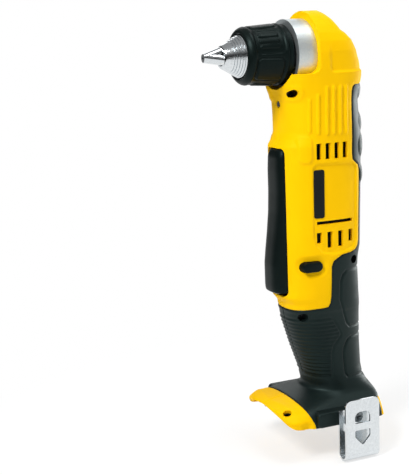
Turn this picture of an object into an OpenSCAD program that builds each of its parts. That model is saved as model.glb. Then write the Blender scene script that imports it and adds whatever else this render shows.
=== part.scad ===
// Cordless right angle drill, a hand held tool whose chuck stands square to its body.
// Z runs up the body axis and the chuck points along -X. The origin is on the body axis at the
// underside of the foot, where a battery slides on from the front.

/* [Housing] */
// Height of the chuck axis above the underside of the foot
axis_z = 252; // [242:1:270]
// Wall of the moulded housing
wall = 3; // [2.4:0.1:3.4]
// Air between the housing and the gear case inside it
shell_air = 0.9; // [0.6:0.1:1.6]
// Crown of the head above its own half width
head_crown = 1.1; // [0.6:0.1:2]
// Thickness of the rubber overmould
grip_skin = 1.6; // [1:0.1:1.8]
// Clearance between parts that are fitted together
fit_gap = 0.1; // [0.05:0.01:0.15]
// Clearance between parts that move past each other
move_gap = 0.4; // [0.3:0.05:0.6]
// Diameter of a housing screw
screw_d = 3.2; // [2.5:0.1:3.6]
// Length of a housing screw below its head
screw_length = 16; // [12:0.5:20]

/* [Gear case] */
// Diameter of the cast collar behind the chuck
collar_d = 46; // [44:0.5:48]
// Step from the collar down to the gear case inside the head
collar_step = 1.4; // [1:0.1:2]
// Front of the collar, ahead of the body axis
collar_front = 24.6; // [23.6:0.1:26]
// Front of the housing's head, ahead of the body axis
head_front = 11; // [8:0.5:12]
// Wall of the casting around the ring gear
case_wall = 1.75; // [1.4:0.05:2]

/* [Chuck] */
// Diameter of the sleeve at its rear
sleeve_d = 41.4; // [40:0.2:43]
// Diameter of the sleeve at its front shoulder
sleeve_front_d = 38.4; // [37.6:0.2:40]
// Diameter of the sleeve's mouth
sleeve_mouth_d = 30; // [29:0.2:31]
// Rear of the sleeve, ahead of the body axis
sleeve_rear = 30; // [29.5:0.1:31]
// Length of the sleeve
sleeve_length = 28; // [27:0.1:29]
// Length of the rounded front of the sleeve
sleeve_shoulder = 4; // [3:0.1:5]
// Front of the chuck's nose, ahead of the body axis
nose_front = 70.5; // [69:0.1:73]
// Diameter of the nose at its front
nose_d = 15; // [14:0.1:16]
// Diameter of a jaw
jaw_d = 6.8; // [6.4:0.1:7]
// Tilt of the jaws from the chuck axis, in degrees
jaw_tilt = 18; // [17:0.5:19]
// How far the closed jaws reach past the nose
jaw_reach = 12.5; // [10:0.5:14]
// Length of a jaw along the chuck
jaw_length = 31; // [29:0.5:32]
// Diameter of the hole between the closed jaws
jaw_bore = 2; // [1.5:0.1:2.5]
// Diameter of the chuck body's bore for a bit's shank
shank_bore = 10.6; // [10:0.1:11]

/* [Spindle] */
// Diameter of the spindle's thread in the chuck
thread_d = 10; // [9:0.1:10.4]
// Diameter of the spindle at its front bearing
spindle_d = 12; // [11:0.1:13]
// Diameter of the spindle at its rear bearing
spindle_tail_d = 7; // [6:0.1:8]
// Outer diameter of the front bearing
front_bearing_d = 30; // [28:0.5:32]
// Width of the front bearing
front_bearing_w = 10; // [8:0.5:10.5]
// Outer diameter of the rear bearing
rear_bearing_d = 14; // [13:0.5:15]
// Width of the rear bearing
rear_bearing_w = 5; // [4:0.5:5]
// Outer diameter of the pinion's bearing
pinion_bearing_d = 22; // [20:0.5:24]
// Width of the pinion's bearing
pinion_bearing_w = 7; // [6:0.5:8]
// Diameter of the pinion's shaft
pinion_shaft_d = 8; // [7:0.5:9]

/* [Gears] */
// Module of the bevel gears
bevel_module = 1.25; // [1.2:0.05:1.3]
// Teeth of the bevel pinion
pinion_teeth = 12; // [12:1:13]
// Teeth of the bevel gear
bevel_teeth = 24; // [23:1:25]
// Length of a bevel tooth
bevel_face = 5; // [4:0.5:5.5]
// Module of the planetary gears
gear_module = 0.7; // [0.66:0.01:0.72]
// Teeth of the sun gear, in threes
sun_teeth = 12; // [12:3:15]
// Teeth of a planet gear, in threes
planet_teeth = 18; // [15:3:18]
// Width of the planetary gears
gear_face = 9.5; // [8:0.5:11]
// Pressure angle of all teeth, in degrees
pressure_angle = 25; // [23:0.5:26]
// Backlash between two teeth
backlash = 0.2; // [0.16:0.02:0.26]

/* [Motor] */
// Diameter of the motor can
motor_d = 36.4; // [34:0.2:37]
// Length of the motor can
motor_length = 57.5; // [54:0.5:60]
// Thickness of the motor can
can_wall = 1.1; // [0.8:0.1:1.4]
// Diameter of the rotor shaft
shaft_d = 4; // [3.2:0.1:4.4]
// Air between the armature and the magnets
rotor_air = 1.5; // [1:0.1:2]
// Thickness of a magnet
magnet_t = 3.6; // [3:0.1:3.8]

/* [Trigger] */
// Length of the trigger
trigger_length = 99; // [85:1:115]
// Width of the trigger
trigger_width = 23.6; // [22:0.2:26]
// How far the trigger stands ahead of the housing at its top
trigger_stand = 2.6; // [1.5:0.1:4]
// Wall of the trigger
trigger_wall = 2.4; // [1.8:0.1:3]
// Diameter of the trigger's pivot pin
pin_d = 4; // [3:0.1:4.4]
// How far the trigger swings, in degrees
trigger_swing = 5; // [3:0.5:5]

/* [Switch] */
// Width of the switch body
switch_width = 22; // [18:0.5:24]
// Depth of the switch body
switch_depth = 18.5; // [15:0.5:19]
// Height of the switch body
switch_height = 42; // [36:0.5:44]
// Diameter of the switch plunger
plunger_d = 6; // [5:0.1:7]
// Wire diameter of the plunger's return spring
spring_wire = 0.8; // [0.6:0.1:1]
// Turns of the plunger's return spring
spring_turns = 6; // [4:1:7]
// Length of the direction button's face
button_length = 15; // [12:0.5:15]
// Height of the direction button's face
button_height = 7; // [5.5:0.5:8]
// How far the direction button stands out of the housing at rest
button_stand = 1.7; // [1:0.1:2.5]

/* [Foot] */
// Height of the arch in the front lip
lip_arch = 10.5; // [8:0.5:11]
// Half span of the arch in the front lip
lip_span = 36; // [34:0.5:40]
// Height of a battery rail's underside above the foot's underside
rail_z = 3; // [2:0.5:4]
// Thickness of a battery rail
rail_t = 4; // [3:0.5:4.5]
// How far a battery rail stands in from the wall
rail_w = 5.5; // [4:0.5:7]
// Length of the terminal block
block_length = 26; // [20:1:28]
// Width of the terminal block
block_width = 26; // [20:1:28]
// Thickness of the pad that the hook is screwed against
hook_pad = 2.1; // [1:0.1:3]
// Diameter of the thread of the hook's screw
hook_thread_d = 4; // [3:0.1:5]

/* [Belt hook] */
// Width of the hook's plate
hook_width = 26.5; // [22:0.5:30]
// Thickness of the hook's steel
hook_t = 1.4; // [1:0.1:2]
// Clear gap between the hook's two legs
hook_gap = 7.2; // [6:0.1:10]
// How far the hook hangs below the foot
hook_drop = 23.5; // [19:0.5:26]
// How far the hook's plate rises above the foot's underside
hook_rise = 20; // [17:0.5:22]

/* [Hidden] */
$fn = 48;

// Cuts run this far past what they cut
overrun = 60;
// Half rings of the moulded shell have this many sides
half_sides = 10;
// Round holes and bosses of the shells have this many sides
shell_fn = 16;

// The housing's width follows the gear case that it wraps
case_d = collar_d - 2 * collar_step;
body_half = case_d / 2 + shell_air + wall;
head_top = axis_z + collar_d / 2 + shell_air + wall + head_crown;

// Sections of the body: height as a share of the axis height, then front, rear and half width as
// shares of the body's half width, then the roundness of the section, and of its rear where that differs
body_shares = [
  [0, 1.659, 1.247, 1.424, 12],
  [0.02, 1.773, 1.247, 1.396, 9],
  [0.036, 1.855, 1.247, 1.294, 4.8, 9],
  [0.043, 1.867, 1.247, 1.216, 3.8, 9],
  [0.05, 1.647, 1.247, 1.137, 2.8, 9],
  [0.058, 1.333, 1.243, 1.035, 2.2, 8.5],
  [0.065, 0.918, 1.224, 0.949, 2, 7.5],
  [0.074, 0.62, 1.192, 0.886, 2, 5.5],
  [0.086, 0.557, 1.137, 0.843, 2.1, 3.8],
  [0.105, 0.588, 1.082, 0.812, 2.3, 2.9],
  [0.131, 0.643, 1.059, 0.796, 2.5, 2.6],
  [0.198, 0.894, 1.059, 0.776, 2.5],
  [0.278, 1.137, 1.059, 0.82, 2.5],
  [0.3, 1.145, 1.051, 0.839, 2.6],
  [0.304, 1.169, 1.051, 0.863, 2.6],
  [0.325, 1.169, 1.027, 0.886, 2.7],
  [0.345, 1.318, 1.004, 0.902, 2.8],
  [0.365, 1.294, 0.984, 0.914, 2.9],
  [0.417, 1.294, 0.957, 0.929, 2.9],
  [0.444, 1.294, 0.976, 0.937, 2.9],
  [0.476, 1.294, 1.043, 0.941, 2.9],
  [0.655, 1.294, 1.09, 0.965, 2.9],
  [0.758, 1.294, 1.098, 0.988, 2.9],
  [0.776, 1.176, 1.106, 0.992, 2.8],
  [0.794, 1.133, 1.106, 0.996, 2.7],
  [0.841, 1.133, 1.047, 1, 2.7],
  [0.873, 1.149, 1.024, 1.004, 2.7],
  [0.893, 1.184, 1.043, 1.012, 2.8],
  [0.913, 1.247, 1.078, 1.02, 3],
  [0.937, 1.267, 1.098, 1.035, 3.2]
];
// Sections of the head: height above the chuck axis as a share of the head's own height, then as above
head_shares = [
  [-0.393, 1.267, 1.082, 1.051, 3.4],
  [-0.214, 1.267, 1.035, 1.055, 3.6],
  [0.036, 1.267, 0.925, 1.055, 3.8],
  [0.286, 1.267, 0.784, 1.012, 3.8],
  [0.464, 1.267, 0.659, 0.933, 3.6],
  [0.514, 1.267, 0.51, 0.902, 3.6],
  [0.643, 1.267, 0.486, 0.808, 3.4],
  [0.786, 1.267, 0.392, 0.651, 3.2],
  [0.893, 1.267, 0.255, 0.475, 3],
  [0.964, 1.267, 0.137, 0.278, 3],
  [1, 1.267, 0.039, 0.078, 3]
];
function section(z, s) = [z, s[1] * body_half, s[2] * body_half, s[3] * body_half, s[4], s[len(s) - 1]];
sections = concat(
  [for (s = body_shares) section(s[0] * axis_z, s)],
  [for (s = head_shares) section(axis_z + s[0] * (head_top - axis_z), s)]
);
function column(k) = [for (s = sections) [s[0], s[k]]];
fronts = column(1);
rears = column(2);
halves = column(3);
powers = column(4);
rear_powers = column(5);
function near_least(z, reach, table) =
  min(lookup(z - reach, table), lookup(z, table), lookup(z + reach, table));

// Half width of the outer surface at a place on its side
function side_y(x, z) =
  let(
    f = lookup(z, fronts),
    r = lookup(z, rears),
    p = lookup(z, 2 * x < r - f ? powers : rear_powers),
    u = min(1, abs((2 * x - r + f) / (r + f)))
  )
  lookup(z, halves) * pow(1 - pow(u, p), 1 / p);

// Half ring of a section, from its front round the near side to its rear
function half_ring(z, f, r, h, p, q) = [
  for (j = [0:half_sides])
    let(t = 180 + 180 * j / half_sides, k = 2 / (cos(t) < 0 ? p : q))
    [
      (r - f) / 2 + (r + f) / 2 * sign(cos(t)) * pow(abs(cos(t)), k),
      -h * pow(abs(sin(t)), k),
      z
    ]
];
function outer_ring(s, grow) = half_ring(s[0], s[1] + grow, s[2] + grow, s[3] + grow, s[4], s[5]);
function inner_ring(z, depth) = half_ring(
  z, near_least(z, depth, fronts) - depth, near_least(z, depth, rears) - depth,
  near_least(z, depth, halves) - depth, lookup(z, powers), lookup(z, rear_powers)
);

// Near half of a shell: from grow outside the body's surface to depth inside it, open at the foot
module half_shell(grow, depth) {
  inner_top = head_top - depth - head_crown;
  levels = concat([for (s = sections) if (s[0] < inner_top) s[0]], [inner_top]);
  n = half_sides + 1;
  m = len(sections);
  k = len(levels);
  points = concat(
    [for (s = sections) each outer_ring(s, grow)],
    [for (z = levels) each inner_ring(z, depth)]
  );
  base = m * n;
  outside = [
    for (i = [0:m - 2], j = [0:half_sides - 1])
      let(a = i * n + j)
      each [[a, a + n, a + n + 1], [a, a + n + 1, a + 1]]
  ];
  inside = [
    for (i = [0:k - 2], j = [0:half_sides - 1])
      let(a = base + i * n + j)
      each [[a, a + n + 1, a + n], [a, a + 1, a + n + 1]]
  ];
  roof = [for (j = [half_sides:-1:0]) (m - 1) * n + j];
  ceiling = [for (j = [0:half_sides]) base + (k - 1) * n + j];
  rim = concat([for (j = [0:half_sides]) j], [for (j = [half_sides:-1:0]) base + j]);
  parting = concat(
    [for (i = [0:m - 1]) i * n + half_sides],
    [for (i = [m - 1:-1:0]) i * n],
    [for (i = [0:k - 1]) base + i * n],
    [for (i = [k - 1:-1:0]) base + i * n + half_sides]
  );
  polyhedron(points, concat(outside, inside, [roof, ceiling, rim, parting]), convexity = 10);
}

// Near half of the whole body, filled
module half_body() {
  n = half_sides + 1;
  m = len(sections);
  points = [for (s = sections) each outer_ring(s, 0)];
  outside = [
    for (i = [0:m - 2], j = [0:half_sides - 1])
      let(a = i * n + j)
      each [[a, a + n, a + n + 1], [a, a + n + 1, a + 1]]
  ];
  roof = [for (j = [half_sides:-1:0]) (m - 1) * n + j];
  sole = [for (j = [0:half_sides]) j];
  parting = concat([for (i = [0:m - 1]) i * n + half_sides], [for (i = [m - 1:-1:0]) i * n]);
  polyhedron(points, concat(outside, [roof, sole, parting]), convexity = 10);
}

// Closed solid through a list of rings that have the same number of points
module skin(rings) {
  n = len(rings[0]);
  m = len(rings);
  points = [for (r = rings) each r];
  sides = [
    for (i = [0:m - 2], j = [0:n - 1])
      let(a = i * n + j, b = i * n + (j + 1) % n)
      each [[a, a + n, b + n], [a, b + n, b]]
  ];
  first = [for (j = [0:n - 1]) j];
  last = [for (j = [n - 1:-1:0]) (m - 1) * n + j];
  polyhedron(points, concat(sides, [first, last]), convexity = 10);
}

// Prism across the body from an outline of X and Z
module across(width) {
  rotate([90, 0, 0]) linear_extrude(width, center = true) children();
}
// Cylinder across the body, from y0 to y1
module cross_rod(x, z, y0, y1, d) {
  translate([x, y0, z]) rotate([-90, 0, 0]) cylinder(h = y1 - y0, d = d);
}
// Ring along the axis of what stands there
module tube(length, outer, inner) {
  rotate_extrude() translate([inner / 2, 0]) square([(outer - inner) / 2, length]);
}
// Diameter of a many sided hole that just clears a round part of diameter d
function around(d) = d / cos(180 / shell_fn);
// Frame whose Z points out of the chuck, from the chuck axis over the body axis
module chuck_frame() {
  translate([0, 0, axis_z]) rotate([0, -90, 0]) children();
}

// Outline of the rubber: X as shares of the body's half width, Z as shares of the axis height
grip_shares = [
  [-2.5, 0.302], [-0.24, 0.317], [-0.155, 0.348], [-0.14, 0.43], [0, 0.45], [0.2, 0.46], [0.67, 0.468],
  [0.82, 0.49], [0.84, 0.683], [0.56, 0.716], [0.55, 0.897], [0.63, 0.915], [2.5, 0.915], [2.5, 0.045],
  [1.14, 0.045], [1.1, -0.1],
  [-0.98, -0.1], [-1, 0.008], [-1.14, 0.044], [-1.29, 0.077], [-1.67, 0.089], [-2.5, 0.09]
];
module grip_outline() {
  polygon([for (s = grip_shares) [s[0] * body_half, s[1] * axis_z]]);
}

// Places of the housing screws: X as a share of the body's half width, Z as a share of the axis height
screw_shares = [[-1.06, 0.899], [0.6, 0.44], [-0.886, 0.291]];
screws = [for (s = screw_shares) [s[0] * body_half, s[1] * axis_z]];
// Head, seat and boss of a screw, as shares of its diameter, its length and the wall
head_d_share = 1.9;
head_h_share = 0.75;
seat_share = 0.42;
boss_wall_share = 0.8;
screw_head_d = head_d_share * screw_d;
screw_head_h = head_h_share * screw_d;
screw_seat = seat_share * screw_length;
boss_d = screw_head_d + boss_wall_share * wall;

// Motor and gear stack, from the chuck axis down, with its plates as shares of the gears and magnets
pinion_neck_share = 2.2;
carrier_share = 0.37;
plate_share = 0.42;
cap_share = 1.5;
pinion_r = bevel_module * pinion_teeth / 2;
bevel_r = bevel_module * bevel_teeth / 2;
pinion_back = axis_z - bevel_r - bevel_module;
bearing_top = pinion_back - pinion_neck_share * bevel_module;
bearing_bottom = bearing_top - pinion_bearing_w;
ring_teeth = sun_teeth + 2 * planet_teeth;
sun_r = gear_module * sun_teeth / 2;
planet_r = gear_module * planet_teeth / 2;
ring_r = gear_module * ring_teeth / 2;
planet_orbit = sun_r + planet_r;
ring_outer_d = case_d - 2 * case_wall - 2 * fit_gap;
carrier_t = carrier_share * gear_face;
gear_top = bearing_bottom - carrier_t - 4 * move_gap;
gear_bottom = gear_top - gear_face;
plate_t = plate_share * gear_face;
plate_top = gear_bottom - 2 * move_gap;
can_top = plate_top - plate_t;
can_bottom = can_top - motor_length;
cap_t = cap_share * magnet_t;
armature_d = motor_d - 2 * (can_wall + magnet_t + rotor_air);
cap_bottom = can_bottom - cap_t;

// Spindle places, ahead of the body axis
bearing_cover_share = 0.6;
thread_share = 1.9;
bearing_front = collar_front - bearing_cover_share * case_wall;
bearing_rear = bearing_front - front_bearing_w;
tail_front = -pinion_r - bevel_module / 2;
tail_rear = tail_front - rear_bearing_w;
// Gap between the collar and the chuck
chuck_gap = 1.2;
chuck_rear = collar_front + chuck_gap;
thread_front = chuck_rear + thread_share * thread_d;

// Trigger and switch places: the trigger's foot stays put, its pin clears the motor
trigger_foot_share = 0.3589;
pivot_air = 2.6;
pivot_share = 0.965;
plunger_share = 0.05;
ear_share = 1.6;
trigger_back_share = 1.06;
button_x_share = 0.714;
button_z_share = 0.4345;
switch_foot_share = 0.21;
trigger_bottom = trigger_foot_share * axis_z;
pivot_x = -(motor_d + pin_d) / 2 - pivot_air;
pivot_z = trigger_bottom + pivot_share * trigger_length;
plunger_z = trigger_bottom + plunger_share * trigger_length;
trigger_back = -trigger_back_share * body_half;
ear_d = ear_share * pin_d;
ear_w = trigger_width / 8;
ear_y = trigger_width / 3;
button_x = -button_x_share * body_half;
button_z = button_z_share * axis_z;
switch_front = button_x + button_length / 2 + 3 * move_gap;
switch_bottom = plunger_z - switch_foot_share * switch_height;
switch_top = switch_bottom + switch_height;
plunger_tip = trigger_back + 2 * move_gap;
plunger_travel = (pivot_z - plunger_z) * tan(trigger_swing);

// Hook and insert places
hook_x_share = 0.149;
hook_z_share = 0.022;
insert_share = 1.6;
hook_x = hook_x_share * body_half;
hook_z = hook_z_share * axis_z;
foot_y = max([for (s = sections) s[3]]);
leg_y = -foot_y - hook_pad - fit_gap;
insert_d = insert_share * hook_thread_d;
insert_length = 2 * hook_thread_d;
insert_y = near_least(hook_z, insert_d / 2 + 2 * grip_skin, halves) - grip_skin - 2 * fit_gap;

// Terminal block places
block_x_share = 0.2;
block_air_share = 0.01;
block_h_share = 0.03;
block_x = -block_x_share * body_half;
block_z = rail_z + rail_t + block_air_share * axis_z;
block_h = block_h_share * axis_z;

// Half tooth angle at radius r of an involute gear with pitch radius rp, in degrees
function inv(a) = tan(a) * 180 / PI - a;
function half_tooth(r, rp, teeth, slack) =
  90 / teeth + inv(pressure_angle) - inv(acos(min(1, rp * cos(pressure_angle) / r)))
  - slack / (2 * rp) * 180 / PI;
flank_shares = [0, 0.35, 0.7, 1];
addendum_share = 0.9;
dedendum_share = 1.15;

// Outline of a spur gear whose first tooth is turned by phase
module gear_outline(teeth, tip, root, slack, phase) {
  rp = gear_module * teeth / 2;
  radii = [for (s = flank_shares) rp - root + s * (tip + root)];
  last = len(radii) - 1;
  polygon([
    for (i = [0:teeth - 1])
      let(c = phase + 360 * i / teeth)
      each concat(
        [for (k = [0:last]) let(a = c - half_tooth(radii[k], rp, teeth, slack)) radii[k] * [cos(a), sin(a)]],
        [
          for (k = [last:-1:0])
            let(a = c + half_tooth(radii[k], rp, teeth, slack))
            radii[k] * [cos(a), sin(a)]
        ]
      )
  ]);
}
module spur_gear(teeth, phase) {
  tip = addendum_share * gear_module;
  root = dedendum_share * gear_module;
  linear_extrude(gear_face) gear_outline(teeth, tip, root, backlash / 2, phase);
}

// Straight bevel gear about Z with its apex at the origin and its large end at +Z
module bevel_wheel(teeth, cone, phase) {
  rp = bevel_module * teeth / 2;
  distance = rp / sin(cone);
  tip = addendum_share * bevel_module;
  root = dedendum_share * bevel_module;
  heights = [for (s = flank_shares) s * (tip + root) - root];
  last = len(heights) - 1;
  function tooth_turn(h) =
    half_tooth(rp / cos(cone) + h, rp / cos(cone), teeth / cos(cone), backlash / 2) / cos(cone);
  profile = [
    for (i = [0:teeth - 1])
      let(c = phase + 360 * i / teeth)
      each concat(
        [for (k = [0:last]) [heights[k], c - tooth_turn(heights[k])]],
        [for (k = [last:-1:0]) [heights[k], c + tooth_turn(heights[k])]]
      )
  ];
  function radius(h) = distance * sin(cone) + h * cos(cone);
  function height(h) = distance * cos(cone) - h * sin(cone);
  small = 1 - bevel_face / distance;
  rim = radius(-root) - root / 2;
  skin([
    [for (p = profile) [small * rim * cos(p[1]), small * rim * sin(p[1]), small * height(-root) + root / 4]],
    [for (p = profile) small * [radius(p[0]) * cos(p[1]), radius(p[0]) * sin(p[1]), height(p[0])]],
    [for (p = profile) [radius(p[0]) * cos(p[1]), radius(p[0]) * sin(p[1]), height(p[0])]],
    [for (p = profile) [rim * cos(p[1]), rim * sin(p[1]), height(-root) + root / 2]]
  ]);
}
bevel_cone = atan(bevel_teeth / pinion_teeth);

// Vents in the motor's side walls
vent_count = 4;
vent_w = 2.8;
vent_pitch = 6.6;
vent_x = -12.4;
upper_vent_z_share = 0.745;
upper_vent_h = 10.5;
lower_vent_z_share = 0.5;
lower_vent_h = 10;
lower_vent_pitch = 8.5;
slot_z_share = 0.552;
slot_h = 2;
slot_w = 28.5;
lamp_d = 5;
lamp_z_share = 0.869;
lamp_z = lamp_z_share * axis_z;

// Opening for the trigger and the gap that its swing needs below it
trigger_room = 2.2;
pin_share = 1.14;
lip_back_share = 1.2;
arch_fn = 96;
bed_fn = 72;

// Slot with round ends through both sides, tall or long
module slot(x, z, w, h) {
  run_x = max(0, w - h) / 2;
  run_z = max(0, h - w) / 2;
  translate([x, 0, z]) hull() for (side = [-1, 1])
    cross_rod(side * run_x, side * run_z, -overrun, overrun, min(w, h));
}
module vents() {
  for (i = [0:vent_count - 1]) {
    slot(vent_x + i * vent_pitch, upper_vent_z_share * axis_z, vent_w, upper_vent_h);
    slot(vent_x + i * lower_vent_pitch, lower_vent_z_share * axis_z, vent_w, lower_vent_h);
  }
  slot(0, slot_z_share * axis_z, slot_w, slot_h);
}

// Pill outline of the direction button, in X and Z
module pill(grow) {
  r = button_height / 2 + grow;
  run = button_length - button_height;
  for (side = [-1, 1]) translate([side * run / 2, 0]) circle(r);
  square([run, 2 * r], center = true);
}

shelf_z_share = 0.884;
cradle_shares = [0.16, 0.76];
rail_start_share = 1.45;
rail_length_share = 2.4;
insert_boss_share = 1.5;
// What the near half carries inside: bosses, cradle ribs, ledges and a battery rail
module near_fittings() {
  // Screw bosses
  for (s = screws) cross_rod(s[0], s[1], -side_y(s[0], s[1]) + wall / 2 + grip_skin, 0, boss_d);
  // Trigger pivot boss
  cross_rod(pivot_x, pivot_z, wall / 2 - side_y(pivot_x, pivot_z), -ear_y - ear_w / 2 - move_gap, 2 * pin_d);
  // Cradle ribs around the motor
  for (s = cradle_shares) {
    z = can_bottom + s * motor_length;
    intersection() {
      translate([0, 0, z]) tube(wall, 2 * (lookup(z, halves) - wall / 2), around(motor_d + 2 * fit_gap));
      translate([-motor_d / 2, -overrun, 0]) cube([2 * overrun, overrun, axis_z]);
    }
  }
  // Ledges under and over the switch
  for (z = [switch_bottom - wall - fit_gap, switch_top + fit_gap]) {
    start = wall / 2 - side_y(switch_front + switch_depth / 2, z);
    translate([switch_front + switch_depth / 4, start, z])
      cube([switch_depth / 2, wall - switch_width / 2 - start, wall]);
  }
  // Seat for the gear case's collar
  intersection() {
    chuck_frame() translate([0, 0, head_front - wall])
      tube(wall, collar_d + 2 * shell_air + wall, around(case_d + 2 * fit_gap));
    translate([-overrun, -overrun, 0]) cube([2 * overrun, overrun, head_top]);
  }
  // Cradle for the gear case's foot
  intersection() {
    translate([0, 0, can_top + wall])
      tube(wall, case_d + 2 * shell_air + wall, around(case_d + 2 * fit_gap));
    translate([-overrun, -overrun, 0]) cube([2 * overrun, overrun, axis_z]);
  }
  // Shelf under the collar, filled
  intersection() {
    half_body();
    translate([-overrun, -overrun, shelf_z_share * axis_z])
      cube([overrun - case_d / 2, overrun, axis_z * (1 - shelf_z_share)]);
  }
  // Battery rail
  translate([-rail_start_share * body_half, -foot_y + grip_skin + wall / 2, rail_z])
    cube([rail_length_share * body_half, rail_w + wall / 2, rail_t]);
  // Boss for the hook's insert
  cross_rod(
    hook_x, hook_z, -insert_y, -insert_y + insert_length + wall / 2, insert_d + insert_boss_share * wall
  );
  // Ledge for the terminal block
  translate([block_x + block_length / 3, -foot_y + grip_skin + wall / 2, block_z + block_h / 2])
    cube([block_length / 3, foot_y - grip_skin - wall / 2 - block_width / 2 - fit_gap, wall]);
}

// What is cut from both halves alike
module shell_cuts() {
  // Bed of the collar and the flat front of the head
  chuck_frame() {
    translate([0, 0, head_front]) cylinder(h = overrun, d = collar_d + 2 * fit_gap, $fn = bed_fn);
    translate([0, -overrun, head_front]) cube([overrun, 2 * overrun, overrun]);
    translate([-body_half / 2, -overrun, head_front]) cube([body_half, 2 * overrun, overrun]);
  }
  // Trigger opening through the front wall
  translate([-overrun - body_half, -trigger_width / 2 - move_gap, trigger_bottom - trigger_room])
    cube([overrun, trigger_width + 2 * move_gap, trigger_length + trigger_room + move_gap]);
  // Room for the trigger's ears, as far back as its pin
  for (side = [-1, 1])
    translate([pivot_x - overrun, side * ear_y - ear_w / 2 - move_gap, pivot_z - ear_d / 2 - 2 * move_gap])
      cube([overrun, ear_w + 2 * move_gap, ear_d + 4 * move_gap]);
  // Slot of the direction button
  translate([button_x, 0, button_z]) across(2 * overrun) pill(move_gap);
  vents();
  // Lamp hole in the front of the neck
  translate([-overrun, 0, lamp_z]) rotate([0, 90, 0])
    cylinder(h = overrun - case_d / 2, d = around(lamp_d + 2 * fit_gap));
  // Holes of the trigger pin
  pin_reach = pin_share * trigger_width / 2 + fit_gap;
  cross_rod(pivot_x, pivot_z, -pin_reach, pin_reach, around(pin_d + fit_gap));
  // Arch in the front lip
  arch_r = (lip_span * lip_span + lip_arch * lip_arch) / (2 * lip_arch);
  translate([-overrun, 0, lip_arch - arch_r]) rotate([0, 90, 0])
    cylinder(h = overrun - lip_back_share * body_half, r = arch_r, $fn = arch_fn);
  // Holes of the hook's inserts
  cross_rod(hook_x, hook_z, -insert_y - overrun, insert_y + overrun, hook_thread_d + 4 * fit_gap);
  for (side = [0, 1]) mirror([0, side, 0])
    cross_rod(hook_x, hook_z, -insert_y, -insert_y + insert_length, around(insert_d + fit_gap));
}

// A half of the housing, without its screw holes
module plain_half() {
  difference() {
    union() {
      half_shell(0, wall);
      intersection() {
        half_body();
        near_fittings();
      }
    }
    intersection() {
      half_shell(wall, grip_skin + fit_gap);
      across(2 * overrun) offset(delta = fit_gap) grip_outline();
    }
    // Room for the motor, the gear case and the switch
    translate([0, 0, cap_bottom]) cylinder(h = can_top - cap_bottom, d = around(motor_d + 2 * fit_gap));
    translate([0, 0, can_top]) cylinder(h = axis_z - can_top, d = around(case_d + 2 * fit_gap));
    shell_cuts();
  }
}
module screw_holes(shank, head) {
  for (s = screws) {
    cross_rod(s[0], s[1], -overrun, -screw_seat, head);
    cross_rod(s[0], s[1], -screw_seat - fit_gap, screw_length, shank);
  }
}

module left_housing() {
  $fn = shell_fn;
  color("gold") difference() {
    plain_half();
    screw_holes(around(screw_d + 2 * fit_gap), around(screw_head_d + 2 * fit_gap));
  }
}
module right_housing() {
  $fn = shell_fn;
  color("gold") difference() {
    mirror([0, 1, 0]) plain_half();
    for (s = screws) cross_rod(s[0], s[1], -fit_gap, screw_length, around(screw_d + fit_gap));
  }
}
// Ribs across the front of the grip, each with round ends
rib_count = 10;
rib_h = 1.5;
rib_stand = 0.4;
rib_z_shares = [0.13, 0.275];
rib_end_share = 0.12;
module rib_outline() {
  z0 = rib_z_shares[0] * axis_z;
  pitch = (rib_z_shares[1] - rib_z_shares[0]) * axis_z / (rib_count - 1);
  for (i = [0:rib_count - 1]) hull() {
    translate([-2 * body_half, z0 + i * pitch]) circle(d = rib_h);
    translate([-rib_end_share * body_half, z0 + i * pitch]) circle(d = rib_h);
  }
}
// Raised pad along the foot's side, that the hook stands on
pad_x_shares = [-0.85, 0.67];
pad_h = 10.7;
pad_corner = 3;
module foot_pad_outline() {
  hull() for (x = pad_x_shares, z = [pad_corner, pad_h - pad_corner])
    translate([x * body_half, z]) circle(pad_corner);
}
module grip_half() {
  difference() {
    union() {
      intersection() {
        half_shell(0, grip_skin);
        across(2 * overrun) grip_outline();
      }
      intersection() {
        half_shell(4 * hook_pad, grip_skin);
        across(2 * (foot_y + hook_pad)) foot_pad_outline();
      }
      intersection() {
        half_shell(rib_stand, grip_skin / 2);
        across(2 * overrun) rib_outline();
      }
    }
    cross_rod(hook_x, hook_z, -overrun, overrun, hook_thread_d + 4 * fit_gap);
    translate([-overrun - body_half, -trigger_width / 2 - move_gap, trigger_bottom - trigger_room])
      cube([overrun, trigger_width + 2 * move_gap, trigger_length]);
    screw_holes(around(screw_d + 2 * fit_gap), around(screw_head_d + 2 * fit_gap));
  }
}
module left_grip() {
  $fn = shell_fn;
  color([0.12, 0.16, 0.16]) grip_half();
}
module right_grip() {
  $fn = shell_fn;
  color([0.12, 0.16, 0.16]) mirror([0, 1, 0]) grip_half();
}

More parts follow.
